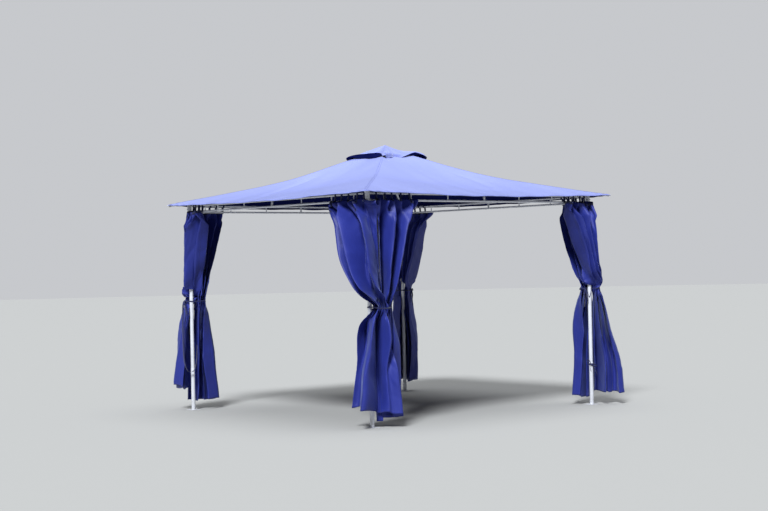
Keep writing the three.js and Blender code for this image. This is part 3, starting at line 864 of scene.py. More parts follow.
# Half a side's truss: two tubes with spacers between them, and a bolted plate at mid side.
def make_truss(name, corner, ahead, outward):
    solid = Solid()
    start, end = HEAD_RADIUS + TUBE_START, HALF - GAP / 2
    for z in RAILS_Z:
        root = post_place(corner, z)
        solid.rod([root + ahead * start, root + ahead * (end - 0.002)], RAIL_RADIUS, RAIL_WALL, 28)
    marks = (0.0, 0.010, 0.0125, 0.048, 0.0505, 0.0605)
    radii = [SPACER_RADIUS + sleeve for sleeve in (SPACER_SLEEVE, SPACER_SLEEVE, 0, 0, SPACER_SLEEVE, SPACER_SLEEVE)]
    for x in SPACERS:
        low = post_place(corner, LOWER_RAIL_Z) + ahead * x
        solid.rod([low + UP * m for m in marks], radii, sides=20)
    middle = sum(RAILS_Z) / 2
    centre = post_place(corner, middle) + ahead * (end - END_PLATE["thick"] / 2)
    height = UPPER_RAIL_Z - LOWER_RAIL_Z + 2 * END_PLATE["over"]
    solid.block(centre, (END_PLATE["thick"], END_PLATE["wide"], height), (ahead, outward, UP))
    for z in (middle - 0.012, middle + 0.012):
        BOLTS.append((post_place(corner, z) + ahead * (end - END_PLATE["thick"]), -ahead))
    settle(solid.piece(f"{name}_steel", STEEL), "steel", name)


def make_rafter(corner):
    bend = POST_DIAGONAL - BEND
    stations = [HEAD_RADIUS + TUBE_START, *np.linspace(bend - 0.07, bend + 0.07, 9), 1.30,
                *np.linspace(1.36, POST_DIAGONAL - HUB_RADIUS - TUBE_START, 14)]
    smooth = [(rafter_z(POST_DIAGONAL - x + 0.03) + rafter_z(POST_DIAGONAL - x - 0.03)) / 2 for x in stations]
    path = [post_place(corner, z) + inward(corner) * float(x) for x, z in zip(stations, smooth)]
    solid = Solid()
    solid.rod(path, RAFTER_RADIUS, RAFTER_WALL, 28)
    for end, beside in ((path[0], path[1]), (path[-1], path[-2])):
        ahead = (beside - end).normalized()
        down = (ahead * ahead.z - UP).normalized()
        BOLTS.append((end + ahead * 0.028 + down * RAFTER_RADIUS, down))
    settle(solid.piece(f"rafter_tube_{corner}", STEEL), "steel", f"rafter_{corner}")


def make_hub():
    z = rafter_z(HUB_RADIUS)
    solid = Solid()
    r, h = HUB_RADIUS, HUB_HALF_HEIGHT
    solid.turned([
        (0, z - h), (r - 0.004, z - h), (r - 0.001, z - h + 0.001), (r, z - h + 0.004), (r, z + h - 0.004),
        (r - 0.001, z + h - 0.001), (r - 0.004, z + h), (0, z + h),
    ], sides=48)
    for corner in CORNERS:
        out = -inward(corner)
        solid.rod([out * d + UP * rafter_z(d) for d in (0.020, HUB_RADIUS + 0.050)], STUB_RADIUS)
        BOLTS.append((out * 0.030 + UP * (z - h), -UP))
    settle(solid.piece("crown_hub_steel", STEEL), "steel", "crown_hub")


# Frame that holds the cap up: a boss on the hub, and four arms with legs that stand on the rafters.
def make_vent_frame():
    solid = Solid()
    root = rafter_z(HUB_RADIUS) + HUB_HALF_HEIGHT + GAP
    crown = CAP_APEX[2] - 0.014
    solid.turned([
        (0, root), (BOSS_RADIUS - 0.0005, root), (BOSS_RADIUS, root + 0.0005), (BOSS_RADIUS, crown - 0.002),
        (BOSS_RADIUS - 0.002, crown), (0, crown),
    ])
    for corner, tip_z in ARM_TIPS_Z.items():
        out = -inward(corner)
        start, tip = out * 0.008 + UP * ARM_START_Z, out * ARM_REACH + UP * tip_z
        ahead = (tip - start).normalized()
        radii = [ARM_RADIUS, ARM_RADIUS, 0.0042, 0.0025]
        solid.rod([start, tip - ahead * 0.002, tip - ahead * 0.0006, tip], radii, sides=20)
        knee = start.lerp(tip, LEG_REACH / ARM_REACH)
        foot = out * LEG_REACH + UP * (rafter_z(LEG_REACH) + RAFTER_RADIUS + 0.003)
        solid.rod([knee, foot], ARM_RADIUS, sides=20)
        solid.rod([foot + UP * d for d in (-0.0015, 0.0015)], 0.010)
    settle(solid.piece("vent_frame_steel", STEEL), "steel", "vent_frame")


# Names of the trusses that start at a corner: the one along X, then the one along Y.
def truss_names(corner):
    front, side = corner.split("_")
    return f"truss_{front}_{side}_half", f"truss_{side}_{front}_half"


def make_frame():
    for corner in CORNERS:
        make_posts(corner)
        make_head(corner)
        for name, (ahead, outward) in zip(truss_names(corner), rail_directions(corner)):
            make_truss(name, corner, ahead, outward)
        make_rafter(corner)
    make_hub()
    make_vent_frame()


# Stage
# Each light's name, where it comes from, its power, and its spread in degrees.
LIGHTS = (("key", (-0.62, -0.44, 0.80), 4.8, 16), ("overhead", (0.1, 0.0, 1.0), 2.0, 50))
LIGHT_COLOR = (0.95, 0.98, 1.0)
ROOM = {"color": (0.92, 0.94, 0.98), "fill": 0.16, "wall": 0.62}


def make_stage():
    bpy.ops.mesh.primitive_circle_add(vertices=96, radius=70, fill_type="NGON", location=(0, 0, -0.0005))
    floor = bpy.context.object
    floor.name = "floor"
    f = Finish("floor", Base_Color=color(0.34, 0.34, 0.336), Roughness=0.9)
    floor.data.materials.append(f.material)


# The room's even light, and the paler wall that only the camera sees behind the gazebo.
def make_room():
    world = bpy.data.worlds.new("studio")
    world.use_nodes = True
    tree = world.node_tree
    fill = tree.nodes["Background"]
    wall = tree.nodes.new("ShaderNodeBackground")
    for background, strength in ((fill, ROOM["fill"]), (wall, ROOM["wall"])):
        background.inputs["Color"].default_value = color(*ROOM["color"])
        background.inputs["Strength"].default_value = strength
    mix = tree.nodes.new("ShaderNodeMixShader")
    path = tree.nodes.new("ShaderNodeLightPath")
    tree.links.new(path.outputs["Is Camera Ray"], mix.inputs[0])
    tree.links.new(fill.outputs[0], mix.inputs[1])
    tree.links.new(wall.outputs[0], mix.inputs[2])
    tree.links.new(mix.outputs[0], tree.nodes["World Output"].inputs["Surface"])
    bpy.context.scene.world = world


def make_light():
    for name, place, power, spread in LIGHTS:
        data = bpy.data.lights.new(name, "SUN")
        data.energy = power
        data.angle = math.radians(spread)
        data.color = LIGHT_COLOR
        add_object(name, data).rotation_euler = Vector(place).to_track_quat("Z", "Y").to_euler()


# Curtains
# How each curtain hangs: the middle line of its folds at some heights, through its edge by the post, its middle
# and its far edge. The points are metres from the post centre, as in from_eye. Place is where across the cloth
# its deepest fold is. Below is the number of its folds under the tie, and where the deepest of those is. A loose
# one's far corner at the top flops over.
HANGS = {
    ("front_left", "side"): {"folds": 2.5, "place": 0.85, "below": (1.5, 0.36), "loose": True, "tie": 1.055, "lines": [
        (2.018, (0.100, 0.085), (-0.120, 0.010), (-0.340, -0.330)),
        (1.900, (0.105, 0.090), (-0.110, 0.030), (-0.262, -0.270)),
        (1.700, (0.090, 0.100), (-0.095, 0.040), (-0.252, -0.200)),
        (1.450, (0.095, 0.095), (-0.060, 0.055), (-0.220, -0.110)),
        (1.250, (0.125, 0.075), (0.005, 0.065), (-0.120, -0.010)),
        (1.120, (0.160, 0.040), (0.085, 0.060), (0.000, 0.045)),
        (1.055, (0.170, 0.030), (0.105, 0.045), (0.040, 0.035)),
        (0.960, (0.178, 0.030), (0.070, 0.065), (-0.060, 0.055)),
        (0.745, (0.195, 0.035), (0.060, 0.100), (-0.115, 0.055)),
        (0.440, (0.215, 0.035), (0.045, 0.110), (-0.175, 0.045)),
        (0.120, (0.228, 0.025), (0.030, 0.120), (-0.230, 0.030)),
    ]},
    ("front_left", "end"): {"folds": 2.5, "place": 0.15, "below": (2, None), "tie": 1.055, "lines": [
        (2.018, (0.050, -0.030), (0.250, -0.160), (0.425, -0.290)),
        (1.830, (0.060, -0.045), (0.230, -0.150), (0.385, -0.250)),
        (1.600, (0.070, -0.055), (0.205, -0.125), (0.335, -0.190)),
        (1.260, (0.085, -0.050), (0.170, -0.070), (0.242, -0.090)),
        (1.120, (0.085, -0.040), (0.150, -0.050), (0.205, -0.055)),
        (1.055, (0.085, -0.035), (0.140, -0.045), (0.195, -0.045)),
        (0.930, (0.065, -0.055), (0.130, -0.060), (0.190, -0.050)),
        (0.600, (0.030, -0.080), (0.100, -0.100), (0.170, -0.060)),
        (0.050, (0.020, -0.075), (0.090, -0.115), (0.160, -0.060)),
    ]},
    ("front_right", "end"): {"folds": 3, "tie": 1.150, "lines": [
        (2.018, (0.012, 0.055), (-0.115, 0.165), (-0.250, 0.285)),
        (1.840, (0.015, 0.075), (-0.080, 0.150), (-0.165, 0.240)),
        (1.630, (0.028, 0.080), (-0.040, 0.120), (-0.095, 0.170)),
        (1.430, (0.034, 0.065), (-0.002, 0.090), (-0.035, 0.110)),
        (1.230, (0.022, 0.015), (0.022, 0.040), (0.020, 0.055)),
        (1.150, (0.060, -0.015), (0.050, -0.010), (0.036, -0.005)),
        (1.060, (0.135, -0.020), (0.090, -0.025), (0.040, -0.030)),
        (0.760, (0.225, -0.030), (0.130, -0.050), (0.035, -0.045)),
        (0.420, (0.318, -0.030), (0.178, -0.060), (0.030, -0.050)),
        (0.110, (0.345, -0.030), (0.188, -0.060), (0.028, -0.055)),
    ]},
    ("front_right", "side"): {"folds": 3, "tie": 1.150, "lines": [
        (2.018, (0.010, -0.070), (-0.100, -0.190), (-0.207, -0.320)),
        (1.690, (0.010, -0.075), (-0.080, -0.160), (-0.158, -0.260)),
        (1.480, (0.015, -0.075), (-0.055, -0.130), (-0.122, -0.190)),
        (1.290, (0.020, -0.070), (-0.038, -0.095), (-0.092, -0.120)),
        (1.150, (0.015, -0.065), (-0.030, -0.075), (-0.072, -0.080)),
        (1.030, (0.010, -0.070), (-0.050, -0.085), (-0.112, -0.085)),
        (0.760, (0.000, -0.075), (-0.075, -0.110), (-0.150, -0.085)),
        (0.070, (-0.010, -0.080), (-0.105, -0.125), (-0.205, -0.080)),
    ]},
    ("back_left", "side"): {"folds": 3, "tie": 1.095, "lines": [
        (2.018, (0.055, 0.020), (0.095, 0.130), (0.140, 0.245)),
        (1.895, (0.042, 0.030), (0.078, 0.120), (0.110, 0.200)),
        (1.600, (0.010, 0.020), (0.032, 0.080), (0.052, 0.130)),
        (1.330, (0.004, -0.005), (0.014, 0.035), (0.034, 0.055)),
        (1.220, (-0.004, -0.020), (0.000, 0.000), (0.012, 0.015)),
        (1.095, (-0.030, -0.030), (-0.024, -0.045), (-0.010, -0.055)),
        (0.990, (-0.080, -0.035), (-0.052, -0.050), (-0.025, -0.060)),
        (0.600, (-0.150, -0.040), (-0.090, -0.070), (-0.020, -0.060)),
        (0.200, (-0.198, -0.040), (-0.110, -0.080), (-0.015, -0.070)),
    ]},
    ("back_left", "end"): {"folds": 4, "tie": 1.095, "lines": [
        (2.018, (-0.010, -0.070), (0.145, -0.200), (0.300, -0.330)),
        (1.840, (0.000, -0.075), (0.130, -0.180), (0.262, -0.280)),
        (1.530, (0.005, -0.075), (0.100, -0.145), (0.195, -0.200)),
        (1.330, (0.010, -0.075), (0.085, -0.115), (0.165, -0.140)),
        (1.095, (0.030, -0.070), (0.075, -0.085), (0.125, -0.090)),
        (0.990, (0.025, -0.080), (0.085, -0.095), (0.140, -0.090)),
        (0.627, (-0.005, -0.090), (0.085, -0.120), (0.165, -0.090)),
        (0.085, (-0.050, -0.090), (0.085, -0.130), (0.222, -0.085)),
    ]},
    ("back_right", "side"): {"folds": 3, "tie": 1.140, "lines": [
        (2.018, (0.030, 0.000), (0.160, 0.150), (0.290, 0.310)),
        (1.740, (0.045, -0.010), (0.135, 0.100), (0.230, 0.210)),
        (1.510, (0.045, -0.025), (0.110, 0.050), (0.174, 0.120)),
        (1.284, (0.035, -0.040), (0.075, -0.010), (0.110, 0.020)),
        (1.140, (0.020, -0.050), (0.055, -0.035), (0.085, -0.020)),
        (0.947, (0.020, -0.050), (0.065, -0.035), (0.110, -0.020)),
        (0.470, (0.000, -0.060), (0.080, -0.050), (0.156, -0.010)),
        (0.100, (-0.010, -0.060), (0.075, -0.055), (0.150, -0.010)),
    ]},
    ("back_right", "end"): {"folds": 3, "tie": 1.140, "lines": [
        (2.018, (-0.030, 0.000), (-0.170, 0.110), (-0.330, 0.240)),
        (1.700, (-0.035, -0.010), (-0.140, 0.070), (-0.260, 0.160)),
        (1.400, (-0.030, -0.030), (-0.095, 0.010), (-0.160, 0.060)),
        (1.140, (-0.005, -0.055), (-0.035, -0.050), (-0.065, -0.030)),
        (0.900, (-0.010, -0.060), (-0.055, -0.050), (-0.100, -0.030)),
        (0.450, (0.000, -0.065), (-0.080, -0.060), (-0.145, -0.030)),
        (0.120, (0.010, -0.065), (-0.080, -0.060), (-0.155, -0.030)),
    ]},
}
HUNG_WIDTH = 1.22  # of the folded cloth before it settles
COLUMNS = 101
ROWS = 141
LOOPS = 5  # straps that each curtain hangs by
STRAP_COLUMNS = [round((k + 0.5) / LOOPS * (COLUMNS - 1)) for k in range(LOOPS)]
PLEATS = 8  # small folds where a curtain is tied
FOLD_DEPTH = (0.01, 0.15)  # least and most
FOLD_EDGE = {"sharp": 0.93, "skew": 0.5}
FOLD_UNEVEN = {"place": 0.02, "depth": (0.7, 1.25)}
OPENED = {"share": 0.7, "below": 0.95, "over": 0.5}  # towards the hem's own folds
TIED = {"reach": 0.10, "flatter": 0.75, "pleated": 0.35}  # at the tie
# How a top is strung: how far its first and last straps are from its edges, how unevenly the others are placed,
# how far off the rail it is, how it bulges and swings between them, and how far down that still shows.
STRUNG = {
    "near": 0.035, "far": 0.03, "uneven": 0.018, "off_rail": 0.004, "bulge": (0.75, 1.25), "swing": (-0.3, 0.5),
    "down": 0.15,
}
SWAY = {"by": 0.014, "scale": 3.2, "over": 0.1}  # uneven hang, which grows from the top
TOP_DIP = {"by": 0.022, "over": 0.05}  # of the top edge between its straps, over a share of the rows
BELOW_HEM = 0.25  # how far a curtain is drawn before it is cut to its length
HEM_RISE = 0.35  # how much of a thread's longer way lifts the hem
HEM_BLUR = 9  # columns over which the threads' lengths are evened out
POST_CLEAR = 0.004
RAIL_CLEAR = 0.003
RAIL_ZONE = {"below": 1.955, "over": 0.03}  # heights at which a curtain stays outside its rail
NO_LIMIT = 0.2
SETTLE_STEPS = 32
# How firmly a settling curtain is held to where it was hung, from 0 to 1.
HELD = {"cloth": 0.10, "below_tie": 0.12, "over": 0.3, "top": 0.25, "loose_corner": 0.03, "tie_reach": 0.016}
CLOTH_REACH = 1.605  # from the middle, beyond which the folds are pressed flatter
PRESSED = 0.07  # the most that they reach past it
CREASE = {"scale": 3.6, "finer": 5.7, "sharp": 5, "high": 0.0045, "start": 0.03, "over": 0.15}  # from the top
PUCKER = {"scale": 26, "reach": 0.13, "high": 0.010}  # by the tie
CURTAIN_STITCH = 0.0045


# How far along a line of points each of them is.
def run_of(line):
    return np.concatenate([[0], np.cumsum(np.linalg.norm(np.diff(line, axis=0), axis=1))])


# Points of a line at some places, by how far along it each of its own points is.
def at_places(places, along, line):
    return np.stack([np.interp(places, along, line[:, axis]) for axis in range(line.shape[1])], axis=-1)


# Smooth curve through values at falling heights, which keeps between its neighbours.
def through(heights, values, z):
    heights, values = np.asarray(heights)[::-1], np.asarray(values)[::-1]
    gaps = np.diff(heights)[:, None]
    slopes = np.diff(values, axis=0) / gaps
    same = slopes[:-1] * slopes[1:] > 0
    mean = np.where(same, 2 * slopes[:-1] * slopes[1:] / np.where(same, slopes[:-1] + slopes[1:], 1), 0)
    lean = np.concatenate([slopes[:1], mean, slopes[-1:]])
    i = np.clip(np.searchsorted(heights, z) - 1, 0, len(gaps) - 1)
    h = gaps[i]
    t = np.clip((z[:, None] - heights[i][:, None]) / h, 0, 1)
    return (
        values[i] * (1 + 2 * t) * (1 - t) ** 2 + values[i + 1] * t * t * (3 - 2 * t)
        + h * lean[i] * t * (1 - t) ** 2 + h * lean[i + 1] * t * t * (t - 1)
    )


# Fold wave across the cloth: nearly flat flanks between rounded edges, one flank wider than the other. Valley
# is the place across the cloth of its deepest fold, where that is given.
def fold_wave(u, count, seed, valley=None):
    rng = np.random.default_rng(seed)
    sharp = FOLD_EDGE["sharp"]
    knots = np.linspace(0, 1, int(2 * count) + 1)
    shift = rng.uniform(-FOLD_UNEVEN["place"], FOLD_UNEVEN["place"], len(knots))
    phase = math.tau * count * (u + np.interp(u, knots, shift))
    if valley is not None:
        phase -= math.tau * count * valley + math.pi / 2
    phase = phase + FOLD_EDGE["skew"] * np.sin(phase + rng.uniform(0, math.tau))
    wave = np.arcsin(sharp * np.sin(phase)) / math.asin(sharp)
    return wave * np.interp(u, knots, rng.uniform(*FOLD_UNEVEN["depth"], len(knots)))


# The same directions as rail_directions gives, in plan, of one curtain's rail.
def rail_axes(corner, kind):
    return [np.array(axis[:2]) for axis in rail_directions(corner)[RAIL_OF[kind]]]


# The middle line of a curtain at each height, and the directions of its folds, which point outwards at the rail.
def middle_lines(corner, kind, z, u):
    lines = HANGS[corner, kind]["lines"]
    heights = [line[0] for line in lines]
    edges = [through(heights, [from_eye(*line[i]) for line in lines], z)[:, None, :] for i in (1, 2, 3)]
    t = u[None, :, None]
    near, middle, far = (1 - t) * (1 - 2 * t), 4 * t * (1 - t), t * (2 * t - 1)
    points = near * edges[0] + middle * edges[1] + far * edges[2]
    ahead = (4 * t - 3) * edges[0] + (4 - 8 * t) * edges[1] + (4 * t - 1) * edges[2]
    fold = np.stack([-ahead[:, :, 1], ahead[:, :, 0]], axis=-1)
    fold /= np.linalg.norm(fold, axis=2)[:, :, None]
    return points, fold * np.sign(fold[0, len(u) // 2] @ rail_axes(corner, kind)[1])


# The top of a curtain from above: held to its rail at its straps, and bulging out between them.
def top_line(corner, kind, u, seed):
    along, outward = rail_axes(corner, kind)
    rng = np.random.default_rng(seed + 90)
    top = HANGS[corner, kind]["lines"][0]
    near, far = from_eye(*top[1]), from_eye(*top[3])
    held = np.linspace(max(near @ along, 0) + STRUNG["near"], far @ along - STRUNG["far"], LOOPS)
    held[1:-1] += rng.uniform(-STRUNG["uneven"], STRUNG["uneven"], LOOPS - 2)
    knots = [near, *(along * h + outward * (RAIL_RADIUS + STRUNG["off_rail"]) for h in held), far]
    marks = np.array([0, *((np.arange(LOOPS) + 0.5) / LOOPS), 1])
    base = at_places(u, marks, np.array(knots))
    part = np.searchsorted(marks, u, side="right").clip(1, len(marks) - 1)
    share = (u - marks[part - 1]) / (marks[part] - marks[part - 1])
    bulge = np.sin(math.pi * share) ** 1.3 * rng.uniform(*STRUNG["bulge"], len(marks))[part]
    swing = np.sin(math.tau * share) * rng.uniform(*STRUNG["swing"], len(marks))[part]
    reach = 0.04
    for _ in range(12):
        line = base + reach * (bulge[:, None] * outward + swing[:, None] * along)
        reach *= (HUNG_WIDTH / np.linalg.norm(np.diff(line, axis=0), axis=1).sum()) ** 1.2
    return line


# The hung cloth as rows of points from its top to its hem, and the length of each of its threads.
def curtain_grid(corner, kind, seed):
    hang = HANGS[corner, kind]
    hem_z = hang["lines"][-1][0]
    u = np.linspace(0, 1, COLUMNS)
    z = np.linspace(CURTAIN_TOP_Z, hem_z - BELOW_HEM, 2 * ROWS)
    middle, fold = middle_lines(corner, kind, z, u)
    opened = OPENED["share"] * smooth_step((OPENED["below"] - z) / OPENED["over"])[:, None]
    tied = np.exp(-((z - hang["tie"]) / TIED["reach"]) ** 2)[:, None]
    folds, valley = hang.get("below", (hang["folds"] - 1, None))
    above = fold_wave(u, hang["folds"], seed, hang.get("place"))
    wave = above * (1 - opened) + fold_wave(u, folds, seed + 50, valley) * opened
    wave = wave * (1 - TIED["flatter"] * tied) + TIED["pleated"] * tied * fold_wave(u, PLEATS, seed + 70)
    top = top_line(corner, kind, u, seed)[None, :, :]
    strung = np.exp(-((CURTAIN_TOP_Z - z) / STRUNG["down"]) ** 2)[:, None, None]
    depth = np.full(len(z), 0.05)
    for _ in range(14):  # deepen or flatten the folds until each row has the cloth's width
        points = (middle + fold * (wave * depth[:, None])[:, :, None]) * (1 - strung) + top * strung
        lengths = np.linalg.norm(np.diff(points, axis=1), axis=2).sum(axis=1)
        depth = np.clip(depth * (HUNG_WIDTH / lengths) ** 1.2, *FOLD_DEPTH)
    grid = np.empty((len(z), COLUMNS, 3))
    grid[:, :, :2] = points
    grid[:, :, 2] = z[:, None]
    free = np.clip((CURTAIN_TOP_Z - z) / SWAY["over"], 0, 1)[:, None]
    sway = np.stack([drift(grid, SWAY["scale"], seed + more) for more in (10, 20)], axis=-1)
    grid[:, :, :2] += SWAY["by"] * sway * free[:, :, None]
    clear_post(grid, corner, kind)
    clear_rail(grid, corner, kind)
    grid, lengths = cut_to_length(grid, hem_z)
    loops = 0.5 - 0.5 * np.cos(math.tau * LOOPS * u)
    by_top = np.clip(1 - np.linspace(0, 1, ROWS) / TOP_DIP["over"], 0, 1)
    grid[:, :, 2] -= TOP_DIP["by"] * (1 - loops)[None, :] * by_top[:, None]
    grid[:, :, :2] += post_plan(corner)
    return grid, lengths


# Places the cloth's rows at even steps down each thread, to a hem that rises where the way down is longer.
def cut_to_length(grid, hem_z):
    steps = np.linalg.norm(np.diff(grid, axis=0), axis=2)
    down = np.concatenate([np.zeros((1, COLUMNS)), np.cumsum(steps, axis=0)])
    reach = np.arange(COLUMNS)
    blur = np.exp(-((reach[:, None] - reach[None, :]) / HEM_BLUR) ** 2)
    down = down @ (blur / blur.sum(axis=0))
    z = grid[:, 0, 2]
    length = np.array([np.interp(-hem_z, -z, down[:, i]) for i in range(COLUMNS)])
    length -= HEM_RISE * (length - length.min())
    even = np.linspace(0, 1, ROWS)
    threads = [at_places(even * length[i], down[:, i], grid[:, i]) for i in range(COLUMNS)]
    return np.stack(threads, axis=1), length


# Keeps points, which are measured from the post centre, on the side of the post where the middle line passes.
def clear_post(grid, corner, kind):
    radius = POST_RADIUS + POST_CLEAR
    heights = np.linspace(0, CURTAIN_TOP_Z, 60)
    middle = middle_lines(corner, kind, heights, np.linspace(0, 1, 41))[0]
    nearest = middle[np.arange(len(heights)), np.linalg.norm(middle, axis=2).argmin(axis=1)]
    side = nearest / np.linalg.norm(nearest, axis=1, keepdims=True)
    side = at_places(grid[:, :, 2], heights, side)
    side /= np.linalg.norm(side, axis=2, keepdims=True)
    ahead = (grid[:, :, :2] * side).sum(axis=2)
    beside = grid[:, :, 0] * side[:, :, 1] - grid[:, :, 1] * side[:, :, 0]
    least = np.sqrt(np.maximum(radius ** 2 - beside ** 2, 0))
    push = np.where(np.abs(beside) < radius, np.maximum(least - ahead, 0), 0)
    grid[:, :, :2] += push[:, :, None] * side


# Keeps the top of the cloth, measured from the post centre, outside the rail that it hangs from.
def clear_rail(grid, corner, kind):
    axis = 1 - RAIL_OF[kind]  # square to the rail
    sign = CORNERS[corner][axis]
    near = smooth_step((grid[:, :, 2] - RAIL_ZONE["below"]) / RAIL_ZONE["over"])
    least = (RAIL_RADIUS + RAIL_CLEAR) * near - NO_LIMIT * (1 - near)
    grid[:, :, axis] = sign * np.maximum(sign * grid[:, :, axis], least)


# The flat cut of a curtain, in metres from its hem, with the length of each of its threads.
def cloth_uvs(lengths):
    u, v = np.meshgrid(np.linspace(0, CURTAIN_WIDTH, COLUMNS), np.linspace(1, 0, ROWS))
    return np.stack([u, v * lengths[None, :]], axis=-1).reshape(-1, 2)


def hang_curtain(corner, kind, seed):
    grid, lengths = curtain_grid(corner, kind, seed)
    return add_mesh(f"curtain_cloth_{corner}_{kind}", grid.reshape(-1, 3), grid_faces(ROWS, COLUMNS),
                    [CURTAIN], cloth_uvs(lengths))


# Lets the hung curtains settle by themselves, held by their loops and their ties.
def relax(curtains):
    scene = bpy.context.scene
    posts = []
    for corner in CORNERS:
        solid = Solid()
        solid.rod([post_place(corner, z) for z in (0.0, 2.09)], POST_RADIUS)
        post = solid.piece(f"post_to_rest_on_{corner}", STEEL)
        post.modifiers.new("rest", "COLLISION")
        post.collision.thickness_outer = 0.003
        post.collision.cloth_friction = 15
        posts.append(post)
    for (corner, kind), piece in curtains.items():
        hold(piece, HANGS[corner, kind])
    for frame_number in range(1, SETTLE_STEPS + 1):
        scene.frame_set(frame_number)
    graph = bpy.context.evaluated_depsgraph_get()
    for piece in curtains.values():
        settled = np.empty(len(piece.data.vertices) * 3)
        piece.evaluated_get(graph).data.vertices.foreach_get("co", settled)
        piece.modifiers.clear()
        piece.shape_key_clear()
        piece.vertex_groups.clear()
        piece.data.vertices.foreach_set("co", settled)
        piece.data.update()
    for post in posts:
        bpy.data.objects.remove(post)
    scene.frame_set(1)


# Pins a curtain at its loops and at its tie, and gives it cloth that remembers its flat cut.
def hold(piece, hang):
    z = grid_of(piece)[:, :, 2]
    held = HELD["cloth"] + HELD["below_tie"] * smooth_step((hang["tie"] - z) / HELD["over"])
    held[0] = HELD["top"]
    if hang.get("loose"):
        held[:6, STRAP_COLUMNS[-1] + 3:] = HELD["loose_corner"]
    held[0, STRAP_COLUMNS] = 1
    held[np.abs(z - hang["tie"]) < HELD["tie_reach"]] = 1
    group = piece.vertex_groups.new(name="held")
    for index, share in enumerate(held.ravel()):
        group.add([index], float(share), "REPLACE")
    piece.shape_key_add(name="hung")
    cut = piece.shape_key_add(name="flat")
    corners = loop_points(piece.data)
    uvs = np.empty(len(corners) * 2)
    piece.data.uv_layers["cloth"].data.foreach_get("uv", uvs)
    flat_cut = np.zeros((held.size, 3))
    flat_cut[corners, :2] = uvs.reshape(-1, 2)
    cut.data.foreach_set("co", flat_cut.ravel())
    modifier = piece.modifiers.new("settle", "CLOTH")
    cloth = modifier.settings
    cloth.quality = 6
    cloth.mass = 0.02
    cloth.air_damping = 2
    cloth.tension_stiffness = cloth.compression_stiffness = 30
    cloth.shear_stiffness = 12
    cloth.bending_stiffness = 0.08
    cloth.vertex_group_mass = "held"
    cloth.pin_stiffness = 1
    cloth.rest_shape_key = cut
    cloth.effector_weights.gravity = 0.6
    modifier.collision_settings.distance_min = 0.003
    modifier.collision_settings.collision_quality = 2
    modifier.point_cache.frame_end = SETTLE_STEPS


# A curtain's points, in rows from its top to its hem.
def grid_of(piece):
    places = np.empty(len(piece.data.vertices) * 3)
    piece.data.vertices.foreach_get("co", places)
    return places.reshape(ROWS, COLUMNS, 3)


# Directions square to a grid of points.
def grid_normals(grid):
    across, down = np.gradient(grid, axis=1), np.gradient(grid, axis=0)
    normals = np.cross(across, down)
    return normals / np.maximum(np.linalg.norm(normals, axis=2, keepdims=True), 1e-9)


# Creases that the cloth keeps from having lain folded: sharp wandering lines, and small puckers by its tie.
def crease(corner, kind, piece, seed):
    grid = grid_of(piece)
    u, v = np.meshgrid(np.linspace(0, CURTAIN_WIDTH, COLUMNS), np.linspace(0, CURTAIN_LENGTH, ROWS))
    slanted = np.stack([u + v * 0.5, v * 0.6 - u * 0.5, np.zeros_like(u)], axis=-1)
    long, fine = (
        np.maximum(1 - CREASE["sharp"] * np.abs(drift(slanted, CREASE[scale], seed + more)), 0)
        for scale, more in (("scale", 0), ("finer", 3))
    )
    far = np.maximum(np.abs(grid[:, :, :2]) - CLOTH_REACH, 0)
    grid[:, :, :2] -= np.sign(grid[:, :, :2]) * (far - PRESSED * np.tanh(far / PRESSED))
    near_tie = np.exp(-((grid[:, :, 2] - HANGS[corner, kind]["tie"]) / PUCKER["reach"]) ** 2)
    pucker = near_tie * drift(np.stack([u, 0.25 * v, u * 0], axis=-1), PUCKER["scale"], seed + 5)
    height = CREASE["high"] * (long ** 1.5 - 0.5 * fine) * (1 - near_tie) + PUCKER["high"] * pucker
    below_tape = smooth_step((v - CREASE["start"]) / CREASE["over"])
    grid += grid_normals(grid) * (height * below_tape)[:, :, None]
    grid[:, :, :2] -= post_plan(corner)
    clear_post(grid, corner, kind)
    clear_rail(grid, corner, kind)
    grid[:, :, :2] += post_plan(corner)
    piece.data.vertices.foreach_set("co", grid.ravel())
    piece.data.update()


def finish_curtain(corner, kind, piece):
    name = f"{corner}_{kind}"
    grid = grid_of(piece)
    thicken(piece, CLOTH)
    settle(piece, "curtain_fabric", f"curtain_{name}")
    straps = make_straps(corner, kind, grid)
    left, right = (round(place / CURTAIN_WIDTH * (COLUMNS - 1)) for place in (SIDE_HEM, CURTAIN_WIDTH - SIDE_HEM))
    low = round((CURTAIN_LENGTH - HEM) / CURTAIN_LENGTH * (ROWS - 1))
    seams = [grid[:, left], grid[:, right], grid[low], grid[1]]
    stitches = make_stitches(f"curtain_stitches_{name}", seams, CURTAIN_STITCH, "curtain_fabric")
    truss = truss_names(corner)[RAIL_OF[kind]] + "_steel"


